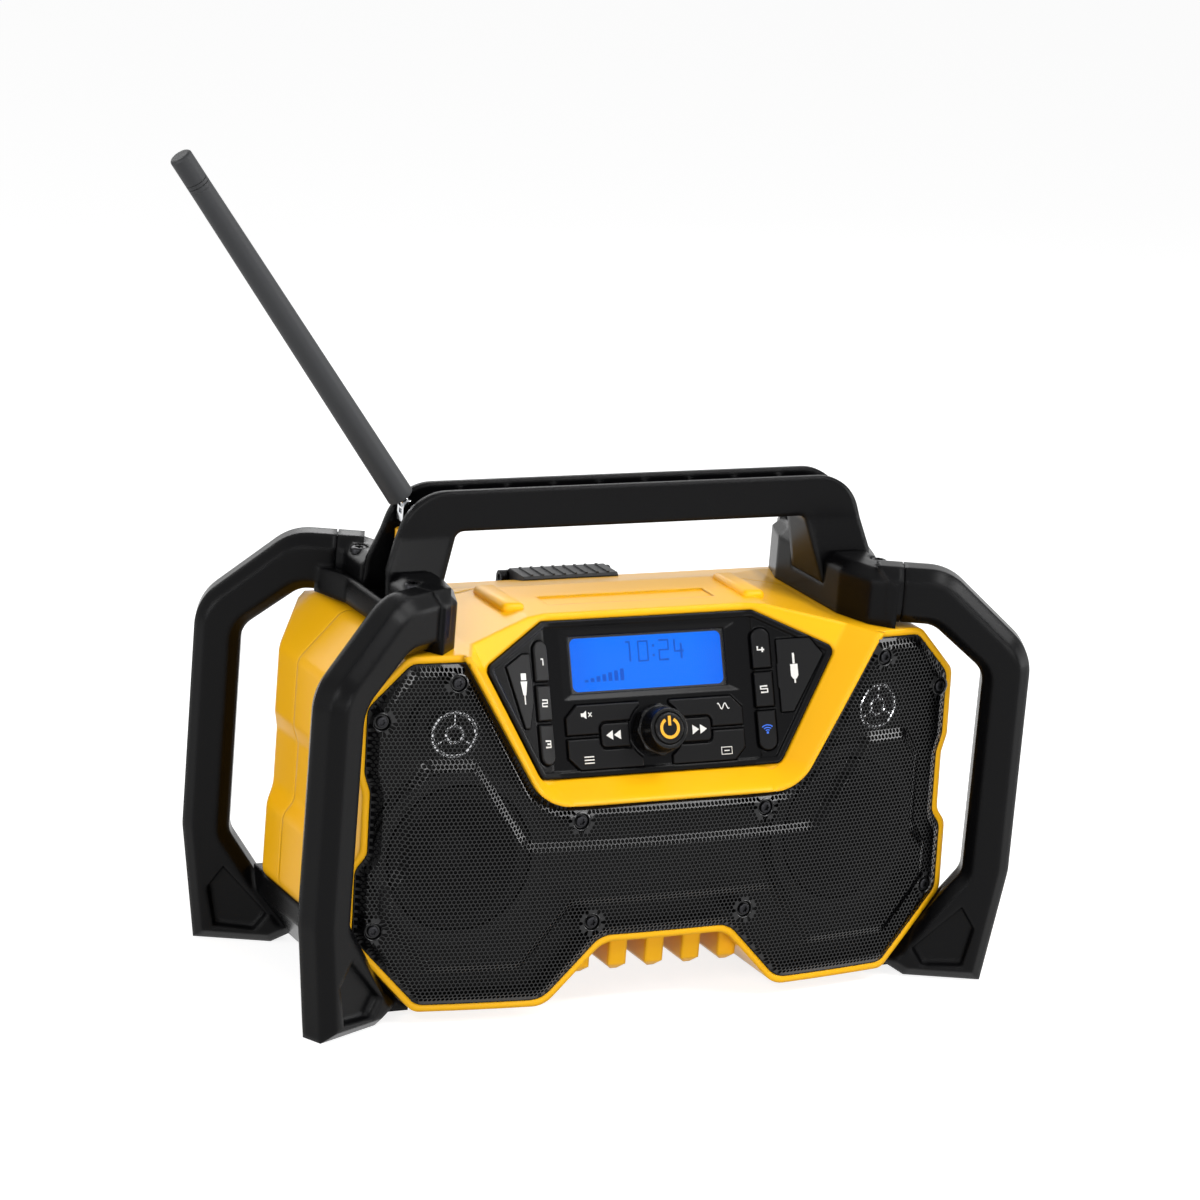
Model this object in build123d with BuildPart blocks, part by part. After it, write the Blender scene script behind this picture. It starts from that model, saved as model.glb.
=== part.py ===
from build123d import *
from math import cos, sin, radians
import os

# Jobsite radio: two speakers and a leaning control panel in a moulded housing, carried in a
# roll cage of four guard legs, with a handle in which the rod antenna folds away.
# Millimetres. X to the right, Y to the rear, Z up; the origin lies on the floor, mid-way
# between the feet. The front faces -Y.

# ---- housing, front silhouette (half widths and heights) ----
lower_half = 161.0
waist_inset = 5.5
waist_half = lower_half - waist_inset
upper_inset = 2.5
upper_half = lower_half - upper_inset
keel_inset = 34.0
keel_half = lower_half - keel_inset
belly_z = 7.0
bilge_z = 43.0
waist_low_z = 78.0
waist_low_step = 7.0
waist_high_z = 114.0
waist_high_step = 9.0
upper_corner_z = 156.0
shoulder_inset = 24.0
shoulder_half = lower_half - shoulder_inset
shoulder_z = 179.0
crown_half = 64.0
crown_foot_half = 102.0
crown_step = 1.0
crown_z = 187.0
arch_half = 33.0
arch_foot_half = 62.0
arch_z = 37.0
body_corner = 8.0
arch_corner = 14.0
arch_side = 94.5

# ---- housing, depth ----
bow_radius = 800.0
bow_lean = 3.0
rim_bow = 80.0
grille_bow = 83.5
body_wall = 3.0
front_wall = 20.0
parting_y = 20.0
rear_y = 62.0
rear_corner_y = 40.0
rear_corner_inset = 19.0
rear_corner_half = lower_half - rear_corner_inset
top_break_y = 18.0
rear_top_z = 177.0
keel_break_y = 40.0
rear_keel_z = 14.0
fit_gap = 0.3

# ---- grille ----
rim_width = 3.2
hood_low_half = 68.0
hood_low_z = 106.0
hood_top_half = 109.0
hood_top_z = 175.5
hood_corner = 22.0
hood_over = 9.0
grille_gauge = 1.2
grille_flange = 3.2
emboss_height = 3.0
emboss_low_z = 57.0
emboss_high_z = 90.0
emboss_neck_half = 52.0
emboss_foot_half = 77.0
emboss_foot_z = 27.0
emboss_keel_inset = 3.0
emboss_keel_half = keel_half - emboss_keel_inset
emboss_out_inset = 14.0
emboss_out_half = lower_half - emboss_out_inset
emboss_bilge_z = 53.0
emboss_waist_z = 70.0
emboss_waist_inset = 17.0
emboss_waist_half = waist_half - emboss_waist_inset
emboss_waist_top = 81.0
emboss_side_top = 117.0
emboss_top_inset = 29.5
emboss_top_half = upper_half - emboss_top_inset
emboss_top_z = 131.0
emboss_top_length = 25.0
emboss_top_in = emboss_top_half - emboss_top_length
emboss_hood_half = 76.0
top_screw_out = 5.0
top_screw_fall = 8.3
side_screw_in = 9.0
side_screw_fall = 7.0
bilge_screw_in = 12.0
bilge_screw_rise = 5.0
hood_screw_in = 18.6
hood_screw_fall = 7.7
arch_screw_out = 8.0
arch_screw_rise = 11.3
grille_screw_places = [
    (hood_top_half + top_screw_out, hood_top_z - top_screw_fall),
    (upper_half - side_screw_in, upper_corner_z - side_screw_fall),
    (lower_half - bilge_screw_in, bilge_z + bilge_screw_rise),
    (hood_low_half - hood_screw_in, hood_low_z - hood_screw_fall),
    (arch_half + arch_screw_out, arch_z + arch_screw_rise),
]
dimple_radius = 4.6
dimple_depth = 1.4
small_head_radius = 2.8
small_head_height = 1.6
small_shank_radius = 1.4
hole_across = 4.4
hole_pitch = 8.4
hole_rings = 4

screw_reach = 14.0

# ---- speakers ----
baffle_rim = 2.2
screw_post_radius = 4.2
driver_boss = 1.6
driver_flange = 2.0
driver_rim = 2.0
basket_wall = 1.6
baffle_bow = 66.0
baffle_thick = 3.0
ledge_width = 3.0
woofer_inset = 58.0
woofer_x = lower_half - woofer_inset
woofer_z = 78.0
woofer_radius = 43.0
woofer_mouth = 36.0
woofer_depth = 30.0
magnet_radius = 24.0
magnet_height = 14.0
cone_gauge = 1.2
dust_cap_radius = 11.0
surround_width = 6.0
tweeter_inset = 44.5
tweeter_x = upper_half - tweeter_inset
tweeter_z = 142.0
tweeter_radius = 14.0
tweeter_depth = 9.0
dome_radius = 8.0

cone_depth = 16.0
cap_taper = 35.0

# ---- control panel ----
panel_lean = 21.1
panel_y = -43.3
panel_z = 149.0
wing_angle = 19.3
fold_x = 53.0
panel_top = 37.0
panel_low = -38.0
wing_top_x = 4.0
wing_tip_x = 43.2
wing_tip_y = 15.7
wing_low_x = 12.0
panel_gauge = 3.0
panel_rim = 1.5
panel_rim_width = 3.0
panel_corner = 4.0
tray_wall = 3.0
sill_flare = 41.0
side_flare = 50.0
window_half = 42.0
window_low = 1.6
window_high = 29.2
window_frame = 5.5
lens_gauge = 1.4
display_gauge = 5.0
board_gauge = 1.6
board_depth = 13.0
board_play = 1.0
key_gap = 0.35
key_proud = 1.3
key_travel = 1.0
preset_x = 6.8
preset_half = 4.5
preset_top = 27.8
preset_low = -31.5
preset_split_high = 7.5
preset_split_low = -11.3
knob_y = -18.0
knob_radius = 12.6
knob_lobe = 1.5
knob_lobes = 8
knob_height = 15.0
knob_face_radius = 9.8
cap_radius = 7.6
cap_proud = 0.6
cap_height = 4.0
knob_gap = 1.2
shaft_radius = 3.0
keys_half = 47.5
keys_high = -3.8
keys_low = -35.0
keys_cut = 6.0
keys_split = -19.0
skip_inner = 14.5
skip_outer = 29.5
skip_half = 5.7
cover_high_y = 21.6
cover_low_y = -13.5
usb_hinge_x = 14.0
usb_knee_x = 18.8
usb_tip_x = 29.4
usb_tip_y = 16.0
usb_low_x = 20.0
usb_low_width = 2.6
usb_cut_y = -2.0
aux_hinge_x = 14.6
aux_knee_x = 31.2
aux_tip_x = 37.0
aux_tip_y = 13.0
aux_low_x = 20.6
cover_gauge = 1.6
bead_radius = 0.7
bead_length = 12.0
bead_y = 4.0
bead_play = 0.05
cover_seat = 0.8
socket_depth = 12.0

encoder_half = 6.5
board_post_radius = 2.5
board_post_x = 50.0
board_post_y = 27.0
stem_radius = 1.5
key_stem_x = 36.0
key_stem_y = 9.0
stem_length = 4.0
key_floor = 1.0
lens_play = 0.1
usb_x = 19.6
usb_y = 8.0
usb_half = 3.5
usb_half_long = 7.2
usb_wall = 0.9
aux_x = 22.0
aux_y = 6.0
aux_radius = 4.0
aux_bore = 1.8

skip_round = 2.4
quarter_inner = 8.0
key_web = 1.0
key_edge = 0.5
cover_seat_depth = -1.3
window_sink = 1.2
module_lip = 2.0
encoder_height = 6.0
knob_lift = 0.4
knob_skirt = 6.0
usb_tongue = 1.4

# ---- guards ----
seam_gap = 0.6
stub_length = 13.0
seam_x = 128.3
seam_y = 51.1
leg_yaw = 25.0
tube_depth = 22.0
tube_chamfer = 5.5
leg_top_z = 209.0
leg_under_z = 181.5
leg_out = 66.0
leg_in = 43.2
bend_out_x = 22.2
bend_out_z = 171.3
bend_in_x = 16.4
bend_in_z = 160.0
knee_out_z = 58.0
knee_in_z = 56.0
foot_out = 57.5
gusset_high_x = 14.0
gusset_high_z = 15.3
gusset_tip_x = 4.8
gusset_tip_z = 8.2
gusset_sole_x = 19.3
pocket_depth = 4.5
pocket_taper = 18.0
rail_half_in = 124.0
rail_half_mid = 139.0
rail_half_out = 158.0
rail_z = 3.5
rail_out_z = 28.0
rail_top_z = 40.0
rail_end_y = 58.0
saddle_half = 134.0
saddle_end_half = 141.0
saddle_top_z = 194.0

outer_bend = 26.0
inner_bend = 12.0
knee_bend = 10.0
saddle_end_y = 46.0
saddle_side_y = 39.0
saddle_step = 3.0
saddle_step_y = 40.3
saddle_waist_y = 24.0
pocket_high_x = 44.7
pocket_high_z = 39.6
pocket_out_x = 52.2
pocket_out_z = 28.1
pocket_heel_x = 47.9
pocket_heel_z = 7.6
pocket_toe_x = 27.6
pocket_toe_z = 6.5
pocket_in_x = 21.3
pocket_in_z = 15.8

# ---- hubs ----
hub_low_z = 172.0
hub_nose_out = 121.0
hub_tip_y = 61.0
hub_shoulder_y = 46.0
hub_in = 104.0
hub_out = 130.0
hub_side_y = 32.0
hub_nose_x = 111.0
hub_nose_y = 52.0
hub_top_z = 207.0
hub_floor_z = 191.0
hub_chamfer = 5.0
hub_screw_x = 125.0
hub_screw_y = 32.0
hub_screw_head = 4.2
hub_screw_recess = 3.0
hub_screw_shank = 2.2
hub_screw_length = 16.0

# ---- handle ----
handle_flare_z = 222.0
handle_top_z = 244.0
handle_under_z = 224.3
handle_corner_x = 117.2
handle_inner_x = 94.0
handle_slope = 0.348
handle_inner_slope = 0.30
handle_half = 10.2
handle_foot_half = 16.0
handle_round = 24.0
handle_inner_round = 5.0
flange = 2.7
web = 3.0
clip_count = 8
clip_pitch = 24.6
clip_reach = 0.8
clip_height = 9.0
clip_gauge = 1.8

# ---- antenna ----
antenna_x = -116.0
antenna_z = 234.6
antenna_lean = 36.5
socket_radius = 5.5
socket_flange = 7.0
socket_top_z = 217.0
collar_radius = 5.0
collar_height = 7.0
post_radius = 2.8
post_play = 0.05
fork_half = 3.4
tongue_half = 1.5
fork_gap = 0.1
fork_radius = 3.6
fork_base = 6.4
pin_radius = 1.2
sheath_start = 7.0
sheath_end = 192.0
sheath_base_radius = 6.5
sheath_end_radius = 5.4
rod_radius = 2.6
rod_end = 200.0
tip_end = 210.5
tip_groove = 0.4
tip_groove_count = 2
tip_groove_pitch = 2.0
tip_round = 1.5
rod_start = 4.2
post_engage = 10.0

# ---- battery bay and rear ----
bay_half = 48.0
bay_low_z = 66.0
bay_high_z = 166.0
bay_front_y = 26.0
bay_wall = 2.5
door_half = 54.0
door_low_z = 60.0
door_high_z = 172.0
door_back_y = 80.0
door_wall = 2.6
door_chamfer = 7.0
hinge_y = 69.0
hinge_z = 54.0
hinge_radius = 3.6
hinge_pin_radius = 1.5
hinge_play = 0.05
knuckle_length = 26.0
knuckle_x = 24.0
ear_length = 9.0
latch_half = 26.0
latch_low_z = 173.4
latch_high_z = 181.0
latch_front_y = 52.0
latch_rib_count = 8
latch_rib = 1.2
terminal_half = 26.0
terminal_y = 12.0
dc_inset = 49.0
dc_x = dc_inset - lower_half
dc_z = 60.0
dc_radius = 7.0
case_screw_inset = 29.0
case_screw_x = lower_half - case_screw_inset
case_screw_z = [148.0, 44.0]
case_low_screw_x = 80.0
case_low_screw_z = 26.0
case_boss_radius = 6.2
case_boss_front_y = 4.0
case_rib = 2.4
case_head_radius = 3.4
case_head_height = 2.4
case_shank_radius = 1.6
case_bore_radius = 4.4
case_bore_depth = 7.0
case_tip_y = 10.0
screw_play = 0.05

latch_pivot_y = 71.5
latch_pivot_z = 176.0
latch_barrel = 3.4
latch_stub = 3.5
latch_stub_radius = 1.5
latch_lug = 4.0
terminal_lift = 30.0
door_taper = 8.0
latch_rib_height = 0.8
latch_rib_pitch = 6.0
terminal_base = 8.0
terminal_half_high = 15.0
blade_gauge = 1.2
blade_half = 6.0
blade_pitch = 10.0
blade_count = 4
dc_flange = 9.0
dc_flange_gauge = 1.2
dc_bore = 2.8
dc_pin = 1.0
dc_length = 14.0
dc_bore_depth = 10.0
ear_gap = 0.3
top_fall = 8.0
latch_seat_height = 20.0
latch_swing_gap = 0.6

# ---- trim of the housing ----
tray_ledge = 4.0
rib_count = 5
rib_pitch = 19.8
rib_width = 9.5
rib_low_z = 18.0
rib_front_y = -68.0
rib_rear_y = 14.0
rib_chamfer = 3.0
ridge_x = 65.0
ridge_width = 7.0
ridge_height = 2.0
ridge_front_y = -17.0
ridge_rear_y = 15.0
inset_half = 45.0
inset_front_y = -14.5
inset_rear_y = -0.8
inset_depth = 0.8

big = 400.0

# ---- reference planes ----
lean_up = Vector(0, sin(radians(bow_lean)), cos(radians(bow_lean)))
bow_plane = Plane(origin=(0, 0, 0), x_dir=(1, 0, 0), z_dir=lean_up)
panel_normal = Vector(0, -cos(radians(panel_lean)), sin(radians(panel_lean)))
panel_plane = Plane(origin=(0, panel_y, panel_z), x_dir=(1, 0, 0), z_dir=panel_normal)
fold_point = panel_plane.from_local_coords(Vector(fold_x, 0, 0))
fold_axis = Axis(fold_point, panel_plane.y_dir)
wing_normal = panel_normal.rotate(fold_axis, -wing_angle)
wing_plane = Plane(origin=fold_point, x_dir=panel_plane.y_dir.cross(wing_normal), z_dir=wing_normal)
yaw_cos = cos(radians(leg_yaw))
yaw_sin = sin(radians(leg_yaw))
leg_plane = Plane(origin=(seam_x, -seam_y, 0), x_dir=(yaw_cos, -yaw_sin, 0), z_dir=(-yaw_sin, -yaw_cos, 0))
lean_sin = sin(radians(antenna_lean))
lean_cos = cos(radians(antenna_lean))
antenna_pivot = (antenna_x, 0, antenna_z)
antenna_plane = Plane(origin=antenna_pivot, x_dir=(lean_cos, 0, lean_sin), z_dir=(-lean_sin, 0, lean_cos))

os.makedirs("parts", exist_ok=True)


# ---- shapes that several sub-parts share ----
def body_outline(inset, plane):
    """Front silhouette of the housing, drawn in by inset all round."""
    with BuildSketch(plane) as section:
        with BuildLine() as half:
            Polyline(
                (0, arch_z),
                (arch_half, arch_z),
                (arch_foot_half, belly_z),
                (keel_half, belly_z),
                (lower_half, bilge_z),
                (lower_half, waist_low_z),
                (waist_half, waist_low_z + waist_low_step),
                (waist_half, waist_high_z),
                (upper_half, waist_high_z + waist_high_step),
                (upper_half, upper_corner_z),
                (shoulder_half, shoulder_z),
                (crown_foot_half, shoulder_z + crown_step),
                (crown_half, crown_z),
                (0, crown_z),
            )
            mirror(half.line, about=Plane.YZ)
        make_face()
        if inset != 0:
            offset(amount=-inset, kind=Kind.INTERSECTION)
        off_middle = section.vertices().filter_by(lambda v: abs(v.X) > fit_gap)
        fillet(off_middle.filter_by(lambda v: abs(v.X) < arch_side and v.Y < waist_low_z), radius=arch_corner)
        off_middle = section.vertices().filter_by(lambda v: abs(v.X) > fit_gap)
        fillet(off_middle.filter_by(lambda v: abs(v.X) > arch_side or v.Y > waist_low_z), radius=body_corner)
    return section.sketch


def bow_block(front):
    """Everything behind the bowed, leaning front surface that starts front mm before the origin."""
    sag = bow_radius - (bow_radius**2 - (big / 2) ** 2) ** 0.5
    with BuildPart() as block:
        with BuildSketch(bow_plane.offset(-rim_bow)):
            with BuildLine():
                ThreePointArc((-big / 2, sag - front), (0, -front), (big / 2, sag - front))
                Polyline((big / 2, sag - front), (big / 2, big), (-big / 2, big), (-big / 2, sag - front))
            make_face()
        extrude(amount=big)
    return block.part


def body_block(inset, front):
    """The housing's whole outer form, drawn in by inset, with its bowed face at front."""
    with BuildPart() as block:
        extrude(body_outline(inset, Plane.XZ.offset(-rear_y + inset)), amount=rear_y + 2 * rim_bow)
        with BuildSketch(Plane.XY.offset(-fit_gap)):
            with BuildLine() as plan:
                Polyline(
                    (0, -2 * rim_bow),
                    (lower_half + fit_gap - inset, -2 * rim_bow),
                    (lower_half + fit_gap - inset, rear_corner_y),
                    (rear_corner_half, rear_y - inset),
                    (0, rear_y - inset),
                )
                mirror(plan.line, about=Plane.YZ)
            make_face()
        extrude(amount=big, mode=Mode.INTERSECT)
        with BuildSketch(Plane.YZ):
            Polygon(
                (-2 * rim_bow, belly_z + inset),
                (keel_break_y, belly_z + inset),
                (rear_y, rear_keel_z + inset),
                (rear_y, rear_top_z - inset),
                (top_break_y, crown_z - inset),
                (-2 * rim_bow, crown_z - inset),
                align=None,
            )
        extrude(amount=big, both=True, mode=Mode.INTERSECT)
        add(bow_block(front), mode=Mode.INTERSECT)
    return block.part


def hood_outline(grow, plane):
    """Front silhouette of the hood round the panel, open towards the top."""
    with BuildSketch(plane) as section:
        with BuildLine() as half:
            Polyline(
                (0, hood_low_z),
                (hood_low_half, hood_low_z),
                (hood_top_half, hood_top_z),
                (hood_top_half, crown_z + hood_over),
                (0, crown_z + hood_over),
            )
            mirror(half.line, about=Plane.YZ)
        make_face()
        low_corners = section.vertices().filter_by(lambda v: abs(v.X) > fit_gap).sort_by(Axis.Y)[:2]
        fillet(low_corners, radius=hood_corner)
        if grow != 0:
            offset(amount=grow, kind=Kind.INTERSECTION)
    return section.sketch


def grille_outline(inset, plane):
    """The opening that the grille fills: the silhouette inside its rim, less the hood."""
    with BuildSketch(plane) as section:
        add(body_outline(rim_width + inset, Plane.XY))
        add(hood_outline(inset, Plane.XY), mode=Mode.SUBTRACT)
        with Locations((0, crown_z)):
            Rectangle(2 * hood_top_half, 2 * (crown_z - hood_top_z), mode=Mode.SUBTRACT)
    return section.sketch


def emboss_outline(inset, plane):
    """The raised speaker field of the grille, drawn in by inset."""
    with BuildSketch(plane) as section:
        with BuildLine() as half:
            Polyline(
                (0, emboss_low_z),
                (emboss_neck_half, emboss_low_z),
                (emboss_foot_half, emboss_foot_z),
                (emboss_keel_half, emboss_foot_z),
                (emboss_out_half, emboss_bilge_z),
                (emboss_out_half, emboss_waist_z),
                (emboss_waist_half, emboss_waist_top),
                (emboss_waist_half, emboss_side_top),
                (emboss_top_half, emboss_top_z),
                (emboss_top_in, emboss_top_z),
                (emboss_hood_half, emboss_high_z),
                (0, emboss_high_z),
            )
            mirror(half.line, about=Plane.YZ)
        make_face()
        if inset != 0:
            offset(amount=-inset, kind=Kind.INTERSECTION)
    return section.sketch


def panel_middle(grow, plane):
    """Outline of the panel's flat middle, drawn a little past the folds."""
    with BuildSketch(plane) as section:
        with Locations((0, (panel_top + panel_low) / 2)):
            Rectangle(2 * (fold_x + panel_gauge), panel_top - panel_low + 2 * grow)
    return section.sketch


def panel_wing(grow, plane):
    """Outline of the right wing, drawn from the fold outwards."""
    with BuildSketch(plane) as section:
        with BuildLine():
            Polyline(
                (-wing_low_x, panel_low),
                (wing_low_x, panel_low),
                (wing_tip_x, wing_tip_y),
                (wing_top_x, panel_top),
                (-wing_low_x, panel_top),
                close=True,
            )
        make_face()
        fillet(section.vertices().filter_by(lambda v: v.X > 0), radius=panel_corner)
        if grow != 0:
            offset(amount=grow, kind=Kind.INTERSECTION)
        with Locations((-big / 2, 0)):
            Rectangle(big, big, mode=Mode.SUBTRACT)
    return section.sketch


def panel_slab(grow, low, high):
    """The panel's outline as a folded slab between two heights over its face."""
    with BuildPart() as slab:
        extrude(panel_middle(grow, panel_plane.offset(low)), amount=high - low)
        extrude(panel_wing(grow, wing_plane.offset(low)), amount=high - low)
        mirror(about=Plane.YZ)
    return slab.part


def hinge_wall(edge_start, edge_end, face_normal, flare, grow):
    """Plane of a recess wall that stands on a panel edge and leans outwards by flare degrees."""
    edge = (edge_end - edge_start).normalized()
    outward = edge.cross(face_normal)
    wall_dir = face_normal * cos(radians(flare)) + outward * sin(radians(flare))
    return Plane(origin=edge_start, x_dir=edge, z_dir=wall_dir.cross(edge)).offset(-grow)


def panel_region(depth, grow):
    """All space in front of the folded panel, between the sill and the two side walls."""
    sill_start = panel_plane.from_local_coords(Vector(-fold_x, panel_low - key_gap, 0))
    sill_end = panel_plane.from_local_coords(Vector(fold_x, panel_low - key_gap, 0))
    side_start = wing_plane.from_local_coords(Vector(wing_low_x + key_gap, panel_low, 0))
    side_end = wing_plane.from_local_coords(Vector(wing_tip_x + key_gap, wing_tip_y, 0))
    sill = hinge_wall(sill_start, sill_end, panel_normal, sill_flare, grow)
    side = hinge_wall(side_start, side_end, wing_normal, side_flare, grow)
    with BuildPart() as region:
        with Locations((0, panel_y, panel_z)):
            Box(big, big, big)
        split(bisect_by=panel_plane.offset(depth), keep=Keep.TOP)
        split(bisect_by=sill, keep=Keep.TOP)
        for plane in (wing_plane.offset(depth), side):
            for hand in (-1, 1):
                origin = (hand * plane.origin.X, plane.origin.Y, plane.origin.Z)
                normal = (hand * plane.z_dir.X, plane.z_dir.Y, plane.z_dir.Z)
                split(bisect_by=Plane(origin=origin, z_dir=normal), keep=Keep.TOP)
    return region.part


def bow_y(x, z, front):
    """Depth of the bowed surface at a place on the front."""
    sag = bow_radius - (bow_radius**2 - x**2) ** 0.5
    return z * sin(radians(bow_lean)) / cos(radians(bow_lean)) - front + sag


def bow_normal(x):
    """Forward normal of the bowed surface at x."""
    level = (1 - (x / bow_radius) ** 2) ** 0.5
    return Vector(x / bow_radius, -level * cos(radians(bow_lean)), level * sin(radians(bow_lean)))


def bow_seat(x, z, front):
    """Plane that touches the bowed surface at x, z and faces forward."""
    level = bow_normal(x).cross(Vector(0, 0, 1))
    return Plane(origin=(x, bow_y(x, z, front), z), x_dir=level, z_dir=bow_normal(x))


full_body = body_block(0, rim_bow)
proud_body = body_block(0, grille_bow)
body_cavity = body_block(body_wall, rim_bow - front_wall)
body_clearance = body_block(-fit_gap, grille_bow + fit_gap)
tray_depth = panel_gauge + tray_wall

# ---- housing shell, before it is parted into a front and a rear moulding ----
def case_screws(radius, front_y, back_y):
    """Six round bars where the case screws run, from front_y to back_y."""
    with BuildPart() as bars:
        with BuildSketch(Plane.XZ.offset(-back_y)):
            for z in case_screw_z:
                with Locations((case_screw_x, z), (-case_screw_x, z)):
                    Circle(radius)
            with Locations((case_low_screw_x, case_low_screw_z), (-case_low_screw_x, case_low_screw_z)):
                Circle(radius)
        extrude(amount=back_y - front_y)
    return bars.part


with BuildPart() as case_bosses:
    add(case_screws(case_boss_radius, case_boss_front_y, rear_y))
    for z in case_screw_z:
        for side in (-1, 1):
            with Locations((side * (case_screw_x + lower_half) / 2, (case_boss_front_y + rear_y) / 2, z)):
                Box(lower_half - case_screw_x, rear_y - case_boss_front_y, case_rib)
    for side in (-1, 1):
        with Locations((side * case_low_screw_x, (case_boss_front_y + rear_y) / 2, case_low_screw_z / 2)):
            Box(case_rib, rear_y - case_boss_front_y, case_low_screw_z)
    add(full_body, mode=Mode.INTERSECT)

with BuildPart() as shell:
    add(full_body)
    add(body_cavity, mode=Mode.SUBTRACT)
    add(case_bosses.part)
    add(case_screws(case_shank_radius + screw_play, case_tip_y, rear_y), mode=Mode.SUBTRACT)
    add(case_screws(case_bore_radius, rear_y - case_bore_depth, rear_y), mode=Mode.SUBTRACT)

# ---- front housing: rim, hood, arch ribs and the folded tray that holds the panel ----
with BuildPart() as hood_block:
    extrude(hood_outline(0, Plane.XZ), amount=2 * rim_bow)
    add(proud_body, mode=Mode.INTERSECT)

with BuildPart() as panel_tray:
    add(panel_region(-tray_depth, tray_wall))
    add(proud_body, mode=Mode.INTERSECT)
    split(bisect_by=Plane.XY.offset(hood_low_z - tray_wall), keep=Keep.TOP)

with BuildPart() as grille_pocket:
    extrude(grille_outline(0, Plane.XZ), amount=2 * rim_bow)
    add(bow_block(baffle_bow - baffle_thick), mode=Mode.SUBTRACT)

with BuildPart() as arch_ribs:
    with Locations(Plane.XY.offset(rib_low_z)):
        with GridLocations(rib_pitch, 0, rib_count, 1):
            with Locations((0, (rib_front_y + rib_rear_y) / 2)):
                Box(
                    rib_width,
                    rib_rear_y - rib_front_y,
                    arch_z - rib_low_z,
                    align=(Align.CENTER, Align.CENTER, Align.MIN),
                )
    chamfer(arch_ribs.edges().group_by(Axis.Z)[0], length=rib_chamfer)

with BuildPart() as front_housing:
    add(shell.part)
    split(bisect_by=Plane.XZ.offset(-parting_y), keep=Keep.TOP)
    add(hood_block.part)
    for side in (-1, 1):
        with Locations((side * ridge_x, (ridge_front_y + ridge_rear_y) / 2, crown_z)):
            Box(ridge_width, ridge_rear_y - ridge_front_y, 2 * ridge_height)
    add(arch_ribs.part)
    add(body_cavity, mode=Mode.SUBTRACT)
    add(panel_tray.part)
    add(panel_region(0, 0), mode=Mode.SUBTRACT)
    add(panel_slab(fit_gap, -panel_gauge, panel_gauge), mode=Mode.SUBTRACT)
    add(panel_slab(-tray_ledge, -2 * tray_depth, 0), mode=Mode.SUBTRACT)
    add(grille_pocket.part, mode=Mode.SUBTRACT)
    extrude(grille_outline(ledge_width, Plane.XZ), amount=2 * rim_bow, mode=Mode.SUBTRACT)
    with Locations((0, (inset_front_y + inset_rear_y) / 2, crown_z)):
        Box(2 * inset_half, inset_rear_y - inset_front_y, 2 * inset_depth, mode=Mode.SUBTRACT)
front_housing.part.label = "front_housing"
export_step(front_housing.part, "parts/front_housing.step")

# ---- rear housing: battery bay, latch seat, hinge ears and DC inlet hole ----
with BuildPart() as bay_shell:
    with Locations((0, rear_y, (bay_low_z + bay_high_z) / 2)):
        Box(
            2 * (bay_half + bay_wall),
            2 * (rear_y - bay_front_y + bay_wall),
            bay_high_z - bay_low_z + 2 * bay_wall,
        )
    with Locations((0, rear_y, crown_z - latch_seat_height / 2 - top_fall)):
        Box(
            2 * (latch_half + bay_wall),
            2 * (rear_y - latch_front_y + bay_wall),
            latch_seat_height,
        )
    add(full_body, mode=Mode.INTERSECT)

ear_step = knuckle_length / 2 + ear_gap + ear_length / 2
with BuildPart() as hinge_ears:
    for side in (-1, 1):
        for step in (-ear_step, ear_step):
            with BuildSketch(Plane.YZ.offset(side * (knuckle_x + step) - ear_length / 2)):
                with Locations((hinge_y, hinge_z)):
                    Circle(hinge_radius)
                with Locations(((rear_y - body_wall + hinge_y) / 2, hinge_z)):
                    Rectangle(hinge_y - rear_y + body_wall, 2 * hinge_radius)
            extrude(amount=ear_length)

with BuildPart() as rear_housing:
    add(shell.part)
    split(bisect_by=Plane.XZ.offset(-parting_y), keep=Keep.BOTTOM)
    add(bay_shell.part)
    add(hinge_ears.part)
    with Locations((0, rear_y, (bay_low_z + bay_high_z) / 2)):
        Box(2 * bay_half, 2 * (rear_y - bay_front_y), bay_high_z - bay_low_z, mode=Mode.SUBTRACT)
    with Locations((0, rear_y, latch_low_z - fit_gap)):
        Box(
            2 * (latch_half + fit_gap),
            2 * (rear_y - latch_front_y + latch_swing_gap),
            big,
            align=(Align.CENTER, Align.CENTER, Align.MIN),
            mode=Mode.SUBTRACT,
        )
    with BuildSketch(Plane.XZ.offset(-rear_y - body_wall)):
        with Locations((dc_x, dc_z)):
            Circle(dc_radius + screw_play)
    extrude(amount=3 * body_wall, mode=Mode.SUBTRACT)
    with BuildSketch(Plane.YZ.offset(-bay_half)):
        with Locations((hinge_y, hinge_z)):
            Circle(hinge_pin_radius + hinge_play)
    extrude(amount=2 * bay_half, mode=Mode.SUBTRACT)
rear_housing.part.label = "rear_housing"
export_step(rear_housing.part, "parts/rear_housing.step")

with BuildPart() as housing_screws:
    add(case_screws(case_shank_radius, case_tip_y, rear_y - case_bore_depth))
    add(case_screws(case_head_radius, rear_y - case_bore_depth, rear_y - case_bore_depth + case_head_height))
housing_screws.part.label = "housing_screws"
export_step(housing_screws.part, "parts/housing_screws.step")


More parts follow.
